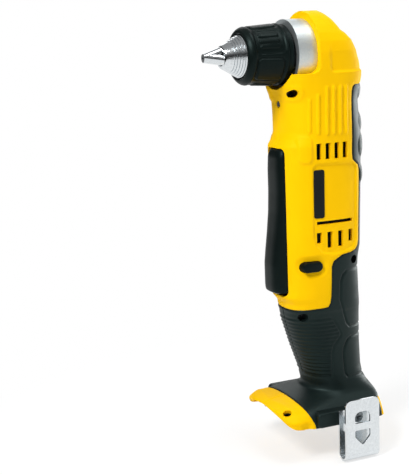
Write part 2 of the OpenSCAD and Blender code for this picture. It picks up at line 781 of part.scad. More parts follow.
// Cast gear case: collar and barrel along the chuck axis, tube down to the motor plate
tail_wall_share = 2.3;
tail_lip_share = 0.8;
module gear_case() {
  tail_boss_d = rear_bearing_d + tail_wall_share * case_wall;
  inner_d = case_d - 2 * case_wall;
  color("silver") difference() {
    union() {
      chuck_frame() {
        translate([0, 0, head_front + fit_gap])
          cylinder(h = collar_front - head_front - fit_gap, d = collar_d);
        translate([0, 0, case_wall]) cylinder(h = head_front, d = case_d);
        translate([0, 0, tail_rear]) cylinder(h = case_wall - tail_rear, d1 = tail_boss_d, d2 = case_d);
      }
      translate([0, 0, can_top]) cylinder(h = axis_z - can_top, d = case_d);
    }
    chuck_frame() {
      translate([0, 0, bearing_rear]) cylinder(h = overrun, d = front_bearing_d + fit_gap);
      translate([0, 0, tail_rear]) cylinder(h = overrun, d = tail_lip_share * rear_bearing_d);
      translate([0, 0, tail_front + case_wall])
        cylinder(h = case_wall - tail_front, d1 = rear_bearing_d, d2 = front_bearing_d - case_wall);
      translate([0, 0, case_wall]) cylinder(h = bearing_rear, d = front_bearing_d - case_wall);
      translate([0, 0, pinion_r / 3])
        cylinder(h = bearing_rear - pinion_r / 3 - case_wall, d = 2 * bevel_r + 4 * bevel_module);
      translate([0, 0, tail_rear - overrun])
        cylinder(h = overrun + rear_bearing_w, d = rear_bearing_d + fit_gap);
    }
    translate([0, 0, bearing_bottom - overrun]) cylinder(h = overrun, d = inner_d);
    translate([0, 0, bearing_bottom - fit_gap])
      cylinder(h = pinion_bearing_w + fit_gap, d = pinion_bearing_d + fit_gap);
    translate([0, 0, bearing_bottom]) cylinder(h = axis_z - bearing_bottom, d = pinion_bearing_d - case_wall);
  }
}

// Sealed ball bearing: outer ring, inner ring and shields, drawn as one ring with a groove on each face
module bearing(width, outer, inner) {
  groove = (outer - inner) / 8;
  rotate_extrude() difference() {
    translate([inner / 2, 0]) square([(outer - inner) / 2, width]);
    for (z = [0, width]) translate([(outer + inner) / 4, z]) square([2 * groove, groove], center = true);
  }
}
module front_bearing() {
  color("lightsteelblue") chuck_frame() translate([0, 0, bearing_rear])
    bearing(front_bearing_w, front_bearing_d, spindle_d + fit_gap);
}
module rear_bearing() {
  color("lightsteelblue") chuck_frame() translate([0, 0, tail_rear])
    bearing(rear_bearing_w, rear_bearing_d, spindle_tail_d + fit_gap);
}
module pinion_bearing() {
  color("lightsteelblue") translate([0, 0, bearing_bottom])
    bearing(pinion_bearing_w, pinion_bearing_d, pinion_shaft_d + fit_gap);
}
module ring_gear() {
  tip = addendum_share * gear_module;
  root = dedendum_share * gear_module;
  gap_phase = (planet_teeth + 1) % 2 * 180 / ring_teeth;
  color("slategray") translate([0, 0, gear_bottom]) difference() {
    cylinder(h = gear_face + move_gap, d = ring_outer_d);
    translate([0, 0, -move_gap]) linear_extrude(gear_face + 3 * move_gap)
      gear_outline(ring_teeth, root, tip, -backlash / 2, gap_phase);
  }
}
module motor_plate() {
  color("dimgray") translate([0, 0, can_top + fit_gap / 2]) difference() {
    cylinder(h = plate_t, d = ring_outer_d);
    translate([0, 0, -plate_t]) cylinder(h = 3 * plate_t, d = 3 * shaft_d);
  }
}
can_mouth_share = 2.5;
module motor_can() {
  color("gray") difference() {
    translate([0, 0, can_bottom]) cylinder(h = motor_length, d = motor_d);
    translate([0, 0, can_bottom - can_wall]) cylinder(h = motor_length, d = motor_d - 2 * can_wall);
    cylinder(h = axis_z, d = can_mouth_share * shaft_d);
  }
}
magnet_share = 0.75;
magnet_z_share = 0.12;
magnet_h = magnet_share * motor_length;
magnet_z = can_bottom + magnet_z_share * motor_length;
module motor_magnets() {
  outer = motor_d - 2 * can_wall - fit_gap;
  color("darkslategray") translate([0, 0, magnet_z]) difference() {
    tube(magnet_h, outer, outer - 2 * magnet_t);
    cube([motor_d / 3, 2 * motor_d, 3 * magnet_h], center = true);
  }
}
brush_w = 5;
brush_z = can_bottom - fit_gap;
commutator_share = 2.5;
commutator_d = commutator_share * shaft_d;
module motor_end_cap() {
  color("ivory") difference() {
    union() {
      translate([0, 0, cap_bottom]) cylinder(h = cap_t - fit_gap, d = motor_d - 2 * can_wall);
      translate([0, 0, cap_bottom - shaft_d / 2]) cylinder(h = cap_t, d = 3 * shaft_d);
      for (side = [-1, 1]) translate([side * armature_d / 3, 0, brush_z + brush_w / 2])
        cube([armature_d / 4, 2 * brush_w, 2 * brush_w], center = true);
    }
    translate([0, 0, cap_bottom - shaft_d]) cylinder(h = 2 * overrun, d = shaft_d + fit_gap);
    translate([0, 0, cap_bottom + cap_t / 2]) cylinder(h = overrun, d = commutator_d + 4 * move_gap);
    translate([0, 0, brush_z + brush_w / 2])
      cube([armature_d + brush_w, brush_w + fit_gap, brush_w + fit_gap], center = true);
  }
}
module motor_brushes() {
  inner = commutator_d / 2 + move_gap;
  run = armature_d / 2 - inner - move_gap;
  color("black") for (side = [-1, 1])
    translate([side * (inner + run / 2), 0, brush_z + brush_w / 2])
      cube([run, brush_w, brush_w], center = true);
}

// Switch behind the lower end of the trigger
plunger_seat_share = 0.45;
plunger_seat = plunger_seat_share * switch_depth;
module switch_body() {
  color("darkred") difference() {
    translate([switch_front, -switch_width / 2, switch_bottom])
      cube([switch_depth, switch_width, switch_height]);
    translate([switch_front - fit_gap, 0, plunger_z]) rotate([0, 90, 0])
      cylinder(h = plunger_seat, d = plunger_d + 2 * fit_gap);
    for (side = [-1, 1]) translate([switch_front + switch_depth / 2, side * switch_width / 4, switch_bottom])
      cylinder(h = 2 * lead_d, d = lead_d + fit_gap, center = true);
  }
}
plunger_head_t_share = 0.4;
plunger_head_d_share = 1.6;
plunger_head_t = plunger_head_t_share * plunger_d;
plunger_head_d = plunger_head_d_share * plunger_d;
module switch_plunger() {
  color("white") translate([plunger_tip, 0, plunger_z]) rotate([0, 90, 0]) {
    cylinder(h = plunger_head_t, d = plunger_head_d);
    cylinder(h = switch_front + plunger_seat - plunger_travel - plunger_tip - move_gap, d = plunger_d);
  }
}

// Return spring around the plunger, one unbroken wire
spring_r = plunger_d / 2 + spring_wire;
spring_start = plunger_tip + plunger_head_t + spring_wire / 2 + fit_gap;
spring_end = switch_front - spring_wire / 2 - fit_gap;
spring_sides = 6;
spring_steps = 8;
spring_pitch = (spring_end - spring_start) / spring_turns;
function spring_ring(i) =
  let(turn = 360 * i / spring_steps, x = spring_start + spring_pitch * i / spring_steps)
  [
    for (k = [0:spring_sides - 1])
      let(a = 360 * k / spring_sides, r = spring_r + spring_wire / 2 * cos(a))
      [x - spring_wire / 2 * sin(a), r * sin(turn), plunger_z + r * cos(turn)]
  ];
module plunger_spring() {
  color("lightgray") skin([for (i = [0:spring_turns * spring_steps]) spring_ring(i)]);
}

module trigger_pin() {
  pin_reach = pin_share * trigger_width / 2;
  color("lightgray") cross_rod(pivot_x, pivot_z, -pin_reach, pin_reach, pin_d);
}
// Front of the trigger: height as a share of its length, then how far it stands as a multiple of its stand
trigger_shares = [
  [0, 0.2, 0.72], [0.025, 1.6, 0.86], [0.07, 2.6, 0.95], [0.13, 2.85, 1], [0.2, 2.85, 1], [0.3, 2.4, 1],
  [0.42, 1.75, 1], [0.56, 1.15, 1], [0.7, 0.9, 1], [0.85, 0.95, 0.98], [0.95, 0.8, 0.93], [0.985, 0.4, 0.84],
  [1, -0.2, 0.72]
];
trigger_front_share = 1.294;
trigger_front = trigger_front_share * body_half;
trigger_power = 3.2;
trigger_sides = 16;
function trigger_ring(s, inset) =
  let(
    front = trigger_front + s[1] * trigger_stand - inset,
    back = -trigger_back - (inset > 0 ? trigger_wall : 0),
    half = s[2] * trigger_width / 2 - inset,
    z = trigger_bottom + (s[0] < 0.5 ? inset : -inset) + s[0] * trigger_length
  )
  [
    for (j = [0:trigger_sides])
      let(t = 90 + 180 * j / trigger_sides)
      [
        -back - (front - back) * pow(abs(cos(t)), 2 / trigger_power),
        half * sign(sin(t)) * pow(abs(sin(t)), 2 / trigger_power),
        z
      ]
  ];
module trigger() {
  notch = button_height + 2 * trigger_room;
  notch_front = button_x - button_length / 2 - 2 * move_gap - (pivot_z - button_z) * tan(trigger_swing);
  color([0.1, 0.11, 0.11]) difference() {
    union() {
      difference() {
        skin([for (s = trigger_shares) trigger_ring(s, 0)]);
        skin([for (s = trigger_shares) trigger_ring(s, trigger_wall)]);
      }
      translate([plunger_tip - move_gap, 0, plunger_z]) rotate([0, -90, 0]) {
        cylinder(h = trigger_front + plunger_tip + trigger_wall / 2, d = plunger_head_d / 4);
        translate([0, 0, 2 * move_gap])
          cylinder(h = trigger_front + plunger_tip + trigger_wall / 2 - 2 * move_gap, d = plunger_head_d);
      }
      for (side = [-1, 1]) {
        cross_rod(pivot_x, pivot_z, side * ear_y - ear_w / 2, side * ear_y + ear_w / 2, ear_d);
        translate([-trigger_front, side * ear_y - ear_w / 2, pivot_z - ear_d / 2])
          cube([trigger_front + pivot_x, ear_w, 3 * ear_d / 4]);
      }
    }
    cross_rod(pivot_x, pivot_z, -trigger_width, trigger_width, pin_d + fit_gap);
    translate([notch_front, -overrun, button_z - notch / 2]) cube([overrun, 2 * overrun, notch]);
  }
}
module direction_button() {
  y = side_y(button_x, button_z) + button_stand;
  color([0.08, 0.09, 0.09]) translate([button_x, 0, button_z]) across(2 * y) pill(0);
}

module lamp() {
  color("ivory") translate([-lookup(lamp_z, fronts) + wall / 2, 0, lamp_z]) rotate([0, 90, 0])
    cylinder(h = lookup(lamp_z, fronts) - wall / 2 - case_d / 2 - shell_air / 2, d = lamp_d);
}
lens_face_share = 0.7;
module lamp_lens() {
  color("lightcyan") translate([-lookup(lamp_z, fronts) + wall / 2 - fit_gap, 0, lamp_z]) rotate([0, -90, 0])
    cylinder(h = wall / 2 - 2 * fit_gap, d1 = lamp_d, d2 = lens_face_share * lamp_d);
}

// Battery contacts in the foot, and the leads to the switch and the motor
blade_count = 3;
blade_t = 0.8;
blade_h = rail_t / 2;
blade_share = 0.6;
lead_d = 2.6;
module terminal_block() {
  color("dimgray") difference() {
    translate([block_x, -block_width / 2, block_z]) cube([block_length, block_width, block_h]);
    for (i = [0:blade_count - 1]) translate([block_x + block_length / 2, blade_y(i), block_z])
      cube([blade_share * block_length + fit_gap, blade_t + fit_gap, block_h], center = true);
    for (side = [-1, 1])
      translate([switch_front + switch_depth / 2, side * switch_width / 4, block_z + block_h])
        cylinder(h = 2 * lead_d, d = lead_d + fit_gap, center = true);
  }
}
function blade_y(i) = (i - (blade_count - 1) / 2) * block_width / blade_count;
module terminal_blades() {
  color("goldenrod") for (i = [0:blade_count - 1])
    translate([block_x + (1 - blade_share) / 2 * block_length, blade_y(i) - blade_t / 2, block_z - blade_h])
      cube([blade_share * block_length, blade_t, blade_h + block_h / 2 - fit_gap]);
}
module battery_leads() {
  color("firebrick") for (side = [-1, 1])
    translate([switch_front + switch_depth / 2, side * switch_width / 4, block_z + block_h - lead_d / 2])
      cylinder(h = switch_bottom - block_z - block_h + lead_d, d = lead_d);
}
motor_lead_share = 0.85;
module motor_leads() {
  color("firebrick") for (side = [-1, 1])
    translate([switch_front + motor_lead_share * switch_depth, side * switch_width / 4, switch_top + fit_gap])
      cylinder(h = cap_bottom - switch_top - 2 * fit_gap, d = lead_d);
}

// Belt hook, screwed to the near side of the foot
module hook_inserts() {
  color("goldenrod") for (side = [0, 1]) mirror([0, side, 0]) difference() {
    cross_rod(hook_x, hook_z, -insert_y, -insert_y + insert_length, insert_d);
    cross_rod(hook_x, hook_z, -insert_y - fit_gap, -insert_y + overrun, hook_thread_d);
  }
}
hook_window_w_share = 0.46;
arch_foot_share = 0.16;
arch_top_share = 0.26;
shield_top_share = 0.077;
shield_foot_share = 0.27;
module hook_plate_outline() {
  corner = hook_width / 6;
  window = hook_window_w_share * hook_width;
  bend_z = hook_bend_r - hook_drop;
  difference() {
    union() {
      translate([-hook_width / 2, bend_z]) square([hook_width, hook_rise - corner - bend_z]);
      translate([corner - hook_width / 2, bend_z]) square([hook_width - 2 * corner, hook_rise - bend_z]);
      for (side = [-1, 1]) translate([side * (hook_width / 2 - corner), hook_rise - corner]) circle(corner);
    }
    // Arched upper window and shield shaped lower window, with a bar between them
    translate([-window / 2, arch_foot_share * hook_rise])
      square([window, (arch_top_share - arch_foot_share) * hook_rise]);
    translate([0, arch_top_share * hook_rise]) circle(d = window);
    translate([-window / 2, -shield_foot_share * hook_drop])
      square([window, (shield_foot_share - shield_top_share) * hook_drop]);
    translate([0, -shield_foot_share * hook_drop]) circle(d = window);
  }
}
hook_bend_r = hook_gap / 2 + hook_t;
module belt_hook() {
  bend_z = hook_bend_r - hook_drop;
  color("lightgray") translate([hook_x, 0, 0]) difference() {
    union() {
      translate([0, leg_y - hook_gap - 3 * hook_t / 2, 0]) across(hook_t) hook_plate_outline();
      translate([0, leg_y - hook_t / 2, 0]) across(hook_t) {
        translate([-hook_width / 2, bend_z]) square([hook_width, 2 * hook_z - bend_z]);
      }
      translate([-hook_width / 2, leg_y - hook_bend_r, bend_z]) rotate([0, 90, 0]) hook_bend();
    }
    cross_rod(0, hook_z, -overrun, 0, hook_thread_d + 4 * fit_gap);
  }
}
// Half tube that joins the two legs of the hook, along Z, on the side of +X
module hook_bend() {
  difference() {
    cylinder(h = hook_width, r = hook_bend_r);
    translate([0, 0, -hook_t]) cylinder(h = hook_width + 2 * hook_t, r = hook_bend_r - hook_t);
    translate([-overrun, -overrun, -overrun]) cube([overrun, 2 * overrun, 2 * overrun]);
  }
}
hook_head_share = 0.6;
hook_screw_share = 0.8;
module hook_screw() {
  head_d = 2 * hook_thread_d;
  head_h = hook_head_share * hook_thread_d;
  screw_end = hook_screw_share * insert_length - insert_y;
  color("gray") difference() {
    union() {
      cross_rod(hook_x, hook_z, leg_y - hook_t - head_h, leg_y - hook_t, head_d);
      cross_rod(hook_x, hook_z, leg_y - hook_t - fit_gap, screw_end, hook_thread_d - fit_gap);
    }
    translate([hook_x, leg_y - hook_t - head_h, hook_z]) {
      cube([head_d / 8, head_h, 5 * head_d / 8], center = true);
      cube([5 * head_d / 8, head_h, head_d / 8], center = true);
    }
  }
}
module housing_screws() {
  color("dimgray") for (s = screws) difference() {
    union() {
      cross_rod(s[0], s[1], -screw_seat - screw_head_h, -screw_seat, screw_head_d);
      cross_rod(s[0], s[1], -screw_seat - screw_head_h / 2, screw_length - screw_seat, screw_d);
    }
    translate([s[0], -screw_seat - screw_head_h, s[1]]) {
      cube([screw_d / 3, screw_head_h, screw_d], center = true);
      cube([screw_d, screw_head_h, screw_d / 3], center = true);
    }
  }
}

// Spindle, along the chuck axis from the chuck's thread to the rear bearing
module spindle() {
  bevel_seat = spindle_d - bevel_module;
  color("lightslategray") chuck_frame() difference() {
    union() {
      translate([0, 0, chuck_rear - fit_gap])
        cylinder(h = thread_front - chuck_rear + fit_gap, d = thread_d);
      translate([0, 0, bearing_front + fit_gap])
        cylinder(h = chuck_rear - bearing_front - 2 * fit_gap, d = spindle_d + 2 * case_wall);
      translate([0, 0, bearing_rear]) cylinder(h = front_bearing_w + 2 * fit_gap, d = spindle_d);
      translate([0, 0, pinion_r / 4]) cylinder(h = bearing_rear - pinion_r / 4, d = bevel_seat);
      translate([0, 0, tail_front + fit_gap])
        cylinder(h = pinion_r / 4 - tail_front, d = bevel_seat - bevel_module);
      translate([0, 0, tail_rear]) cylinder(h = rear_bearing_w + 2 * fit_gap, d = spindle_tail_d);
    }
    translate([0, 0, chuck_rear]) cylinder(h = overrun, d = thread_d / 2);
  }
}
module bevel_gear() {
  bevel_seat = spindle_d - bevel_module;
  hub_front = bearing_rear - 2 * fit_gap;
  color("lightslategray") chuck_frame() difference() {
    union() {
      bevel_wheel(bevel_teeth, bevel_cone, 180);
      translate([0, 0, pinion_r + bevel_module])
        cylinder(h = hub_front - pinion_r - bevel_module, d = 3 * spindle_d / 2);
    }
    cylinder(h = overrun, d = bevel_seat + fit_gap / 2);
  }
}

// Chuck body with its stepped nose, bored for the spindle, the bit and the three jaws
jaw_tip = nose_front + jaw_reach;
jaw_meet_share = 0.4;
jaw_start = -jaw_d / 2 / cos(jaw_tilt) + jaw_meet_share * jaw_d;
jaw_travel = (shank_bore - jaw_bore) / 2 / sin(jaw_tilt);
sleeve_mouth = sleeve_rear + sleeve_length;
sleeve_front = sleeve_mouth - sleeve_shoulder;
nut_front_share = 0.6;
nut_length_share = 1.5;
nut_lip = 1;
mouth_air = 0.75;
nut_front = sleeve_front + nut_front_share * sleeve_shoulder;
nut_length = nut_length_share * sleeve_shoulder;
nut_rear = nut_front - nut_length;
nut_d = sleeve_mouth_d + 2 * nut_lip;
body_d = sleeve_mouth_d - 2 * mouth_air;
waist_share = 0.72;
step_count = 4;
// Each step of the nose: share of its slope taken, share of its length gone
step_shares = [[0.8, 0.8], [1.1, 0.9]];
// Frame along a jaw: Z points out of the chuck along the jaw's own axis, from its tip
module jaw_frame(turn) {
  chuck_frame() rotate([0, 0, turn]) translate([jaw_start, 0, jaw_tip]) rotate([0, -jaw_tilt, 0]) children();
}
module chuck_body() {
  bore_r = (thread_d + fit_gap) / 2;
  rear_r = body_d / 2 - wall;
  waist_r = waist_share * body_d / 2;
  step = (nose_front - nut_front) / (step_count + 1);
  slope = (body_d - nose_d) / 2 / (nose_front - nut_front);
  nose = [
    for (i = [0:step_count - 1])
      let(z = nut_front + fit_gap + i * step, r = body_d / 2 - slope * i * step)
      each concat([[r, z]], [for (q = step_shares) [r - slope * step * q[0], z + step * q[1]]])
  ];
  color("gainsboro") difference() {
    chuck_frame() rotate_extrude() polygon(concat(
      [[shank_bore / 2, nose_front], [bore_r, thread_front], [bore_r, chuck_rear]],
      [[rear_r, chuck_rear], [rear_r, sleeve_rear + 2 * wall], [body_d / 2, sleeve_rear + 2 * wall]],
      [[body_d / 2, nut_rear - fit_gap], [waist_r, nut_rear - fit_gap], [waist_r, nut_front + fit_gap]],
      nose,
      [[nose_d / 2, nose_front]]
    ));
    for (turn = [0, 120, 240]) jaw_frame(turn)
      translate([0, 0, -jaw_length - jaw_travel - 2 * wall])
        cylinder(h = 2 * overrun, d = jaw_d + 2 * fit_gap);
    chuck_frame() translate([0, 0, thread_front - fit_gap]) cylinder(h = overrun, d = shank_bore);
  }
}
ring_drop = 0.6;
module chuck_ring() {
  ring_d = sleeve_d - 2 * ring_drop;
  color([0.1, 0.11, 0.11]) chuck_frame() translate([0, 0, chuck_rear + fit_gap])
    tube(sleeve_rear - chuck_rear - move_gap - fit_gap, ring_d, body_d - 2 * wall + fit_gap);
}
screw_head_share = 0.72;
module chuck_screw() {
  head_d = screw_head_share * shank_bore;
  color("dimgray") chuck_frame() difference() {
    union() {
      translate([0, 0, thread_front + fit_gap]) cylinder(h = shank_bore / 4, d = head_d);
      translate([0, 0, chuck_rear + wall])
        cylinder(h = thread_front - chuck_rear - wall + 2 * fit_gap, d = thread_d / 2 - fit_gap);
    }
    translate([0, 0, thread_front + shank_bore / 4]) cube([head_d / 6, head_d, head_d / 4], center = true);
  }
}

// Sleeve: a moulded cup around the chuck body, with flats and grooves left to its finish
// Rounded shoulder of the sleeve: drop from its front diameter and way forward, as multiples of the shoulder
shoulder_shares = [[0, 0], [0.08, 0.38], [0.29, 0.71]];
// Lip of the mouth, as multiples of the shoulder, and the chamfer at the rear, as multiples of the wall
lip_shares = [0.55, -0.08];
chamfer_shares = [0.2, 0.3];
module chuck_sleeve() {
  inner = sleeve_d - 2 * wall;
  lip = [sleeve_mouth_d / 2, sleeve_mouth] + sleeve_shoulder * lip_shares;
  shoulder = [
    for (q = shoulder_shares)
      [sleeve_front_d / 2 - q[0] * sleeve_shoulder, sleeve_front + q[1] * sleeve_shoulder]
  ];
  mouth_t = sleeve_mouth - nut_front - fit_gap;
  color([0.12, 0.13, 0.13]) chuck_frame() rotate_extrude() difference() {
    polygon(concat(
      [[0, sleeve_rear], [sleeve_d / 2 - chamfer_shares[0] * wall, sleeve_rear]],
      [[sleeve_d / 2, sleeve_rear + chamfer_shares[1] * wall]],
      shoulder,
      [lip, [sleeve_mouth_d / 2, sleeve_mouth], [0, sleeve_mouth]]
    ));
    translate([0, sleeve_rear - wall]) square([inner / 2, nut_rear - sleeve_rear]);
    translate([0, sleeve_rear]) square([nut_d / 2 + fit_gap / 2, nut_front - sleeve_rear + fit_gap]);
    translate([0, sleeve_rear]) square([body_d / 2 + move_gap, 2 * sleeve_length]);
  }
}
module chuck_nut() {
  color("dimgray") chuck_frame() translate([0, 0, nut_rear]) rotate_extrude() polygon([
    [nut_inner(nut_rear), 0], [nut_d / 2, 0], [nut_d / 2, nut_length], [nut_inner(nut_front), nut_length]
  ]);
}
// Inside of the nut, clear of the jaws' outer sides
function nut_inner(z) = jaw_start + (jaw_tip - z) * tan(jaw_tilt) + jaw_d / 2 / cos(jaw_tilt) + fit_gap;

module jaw(turn) {
  parting = fit_gap;
  color("lightgray") difference() {
    jaw_frame(turn) translate([0, 0, -jaw_length / cos(jaw_tilt)])
      cylinder(h = jaw_length / cos(jaw_tilt) + jaw_d, d = jaw_d);
    chuck_frame() {
      // Square end, bore for the bit and the two faces that meet the other jaws
      translate([-overrun, -overrun, jaw_tip]) cube([2 * overrun, 2 * overrun, overrun]);
      translate([0, 0, jaw_tip - overrun]) cylinder(h = 2 * overrun, d = jaw_bore);
      for (side = [-1, 1]) rotate([0, 0, turn + side * 60])
        translate([-overrun, side > 0 ? -parting : -overrun, 0])
          cube([2 * overrun, overrun + parting, 2 * overrun]);
    }
  }
}
module jaw_top() {
  jaw(0);
}
module jaw_near() {
  jaw(240);
}
module jaw_far() {
  jaw(120);
}

// Pinion and its shaft, down to the planet carrier
module bevel_pinion() {
  color("lightslategray") {
    translate([0, 0, axis_z]) rotate([180, 0, 0])
      bevel_wheel(pinion_teeth, 90 - bevel_cone, 180 + 180 / pinion_teeth);
    translate([0, 0, gear_top + move_gap]) cylinder(h = pinion_back - gear_top, d = pinion_shaft_d);
  }
}
planet_pin_share = 0.32;
carrier_rim_share = 0.8;
planet_pin_d = 2 * planet_pin_share * planet_r;
module planet_carrier() {
  color("gray") difference() {
    union() {
      translate([0, 0, gear_top + move_gap])
        cylinder(h = carrier_t, r = planet_orbit + carrier_rim_share * planet_r);
      for (turn = [180, 300, 60]) rotate([0, 0, turn]) translate([planet_orbit, 0, gear_bottom + move_gap])
        cylinder(h = gear_face + carrier_t, d = planet_pin_d);
    }
    translate([0, 0, gear_bottom]) cylinder(h = overrun, d = pinion_shaft_d + fit_gap / 2);
  }
}
module planet(turn) {
  color("slategray") rotate([0, 0, turn]) translate([planet_orbit, 0, gear_bottom]) difference() {
    spur_gear(planet_teeth, 180 / planet_teeth + (planet_teeth % 2) * 180 / planet_teeth);
    translate([0, 0, -gear_face]) cylinder(h = 3 * gear_face, d = planet_pin_d + fit_gap);
  }
}
module planet_front() {
  planet(180);
}
module planet_near() {
  planet(300);
}
module planet_far() {
  planet(60);
}

// Rotor: shaft, armature, commutator and fan
module sun_gear() {
  color("lightslategray") translate([0, 0, gear_bottom]) difference() {
    spur_gear(sun_teeth, 0);
    translate([0, 0, -gear_face]) cylinder(h = 3 * gear_face, d = shaft_d + fit_gap / 2);
  }
}
shaft_end_share = 0.9;
module rotor_shaft() {
  color("lightslategray") translate([0, 0, cap_bottom])
    cylinder(h = gear_bottom + shaft_end_share * gear_face - cap_bottom, d = shaft_d);
}
armature_z_share = 0.24;
winding_share = 0.08;
winding_d_share = 0.8;
armature_z = can_bottom + armature_z_share * motor_length;
armature_h = motor_length / 2;
winding_h = winding_share * armature_h;
slot_count = 6;
module armature() {
  color("saddlebrown") translate([0, 0, armature_z]) difference() {
    union() {
      cylinder(h = armature_h, d = armature_d);
      translate([0, 0, -winding_h])
        cylinder(h = armature_h + 2 * winding_h, d = winding_d_share * armature_d);
    }
    for (i = [0:slot_count - 1]) rotate([0, 0, 360 * i / slot_count])
      translate([armature_d / 2, 0, armature_h / 2])
        cube([armature_d / 6, armature_d / 14, 2 * armature_h], center = true);
    translate([0, 0, -armature_h]) cylinder(h = 3 * armature_h, d = shaft_d + fit_gap / 2);
  }
}
module commutator() {
  foot = cap_bottom + cap_t / 2 + move_gap;
  color("peru") translate([0, 0, foot])
    tube(armature_z - winding_h - foot - move_gap, commutator_d, shaft_d + fit_gap / 2);
}
blade_turns = 9;
hub_share = 2.5;
fan_share = 0.1;
module motor_fan() {
  fan_z = armature_z + armature_h + winding_h + move_gap;
  fan_h = fan_share * motor_length;
  fan_d = motor_d - 2 * can_wall - 2 * magnet_t - 4 * move_gap;
  hub_d = hub_share * shaft_d;
  blade_t = fan_h / 4;
  color("dimgray") translate([0, 0, fan_z]) difference() {
    union() {
      cylinder(h = blade_t, d = fan_d);
      cylinder(h = fan_h, d = hub_d);
      for (i = [0:blade_turns - 1]) rotate([0, 0, 360 * i / blade_turns])
        translate([hub_d / 2 - blade_t, -blade_t / 2, blade_t / 2])
          cube([(fan_d - hub_d) / 2, blade_t, fan_h - blade_t]);
    }
    translate([0, 0, -fan_h]) cylinder(h = 3 * fan_h, d = shaft_d + fit_gap / 2);
  }
}

left_housing();
right_housing();
left_grip();
right_grip();
gear_case();
front_bearing();
rear_bearing();
pinion_bearing();
ring_gear();
motor_plate();
motor_can();
motor_magnets();
motor_end_cap();
motor_brushes();
switch_body();
plunger_spring();
trigger_pin();
lamp();
lamp_lens();
terminal_block();
terminal_blades();
battery_leads();
motor_leads();
hook_inserts();
belt_hook();
hook_screw();
housing_screws();
spindle();
bevel_gear();
chuck_body();
chuck_ring();
chuck_screw();
chuck_sleeve();
chuck_nut();
jaw_top();
jaw_near();
jaw_far();
bevel_pinion();
planet_carrier();
planet_front();
planet_near();
planet_far();
rotor_shaft();
sun_gear();
armature();
commutator();
motor_fan();
trigger();
switch_plunger();
direction_button();
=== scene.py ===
import math

import bmesh
import bpy
import numpy as np
from mathutils import Matrix, Vector


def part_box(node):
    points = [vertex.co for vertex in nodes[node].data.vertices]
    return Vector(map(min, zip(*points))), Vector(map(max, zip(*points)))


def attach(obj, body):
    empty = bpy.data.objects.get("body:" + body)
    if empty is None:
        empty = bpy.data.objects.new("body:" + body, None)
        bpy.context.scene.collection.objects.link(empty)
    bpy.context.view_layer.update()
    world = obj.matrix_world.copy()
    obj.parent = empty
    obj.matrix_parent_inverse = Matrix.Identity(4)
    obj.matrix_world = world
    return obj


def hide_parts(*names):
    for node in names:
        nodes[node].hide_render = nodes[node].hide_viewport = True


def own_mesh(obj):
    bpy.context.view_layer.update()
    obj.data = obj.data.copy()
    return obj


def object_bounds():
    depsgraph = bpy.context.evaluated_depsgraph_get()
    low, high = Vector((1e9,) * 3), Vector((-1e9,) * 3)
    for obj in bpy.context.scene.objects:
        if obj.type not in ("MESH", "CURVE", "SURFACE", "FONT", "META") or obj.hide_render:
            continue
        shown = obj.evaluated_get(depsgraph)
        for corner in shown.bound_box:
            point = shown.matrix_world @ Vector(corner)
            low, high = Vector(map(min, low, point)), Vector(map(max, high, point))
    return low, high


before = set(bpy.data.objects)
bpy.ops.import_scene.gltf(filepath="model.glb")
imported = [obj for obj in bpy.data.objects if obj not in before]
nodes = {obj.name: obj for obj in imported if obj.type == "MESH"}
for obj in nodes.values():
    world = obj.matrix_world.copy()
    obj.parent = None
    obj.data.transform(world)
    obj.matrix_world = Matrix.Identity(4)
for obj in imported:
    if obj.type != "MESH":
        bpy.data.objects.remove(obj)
cad_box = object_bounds()

# Housing halves. Two mouldings of glass filled nylon, parted along the middle of the
# tool and held by screws from the near side. Their wall is even, and the vents, the
# trigger's opening and the screw pockets are moulded through it.

# Sizes are in millimetres. CELL and COLUMNS space the skin's points, and UNCUT is a flat
# that lies clear of the body.
MM = 0.001
CELL = 0.8
COLUMNS = 150
WALL = 2.6
BODY_TOP = 280.0
SIDE_Y = 7.0
FRONT_X = -20.0
AXIS_Z = 252.0
HEAD_FRONT = -11.0
SHELF_TOP = 239.25
SHELF_FRONT = -33.0
SHELF_FILLET = 5.0
COLLAR_BED = 23.1
ARCH_RADIUS = 66.96
ARCH_TOP = 10.5
LIP_BACK = -30.6
UNCUT = -99.0
STRAIGHT_FROM, STRAIGHT_TO, STRAIGHT_EASE = 214, 258, 10
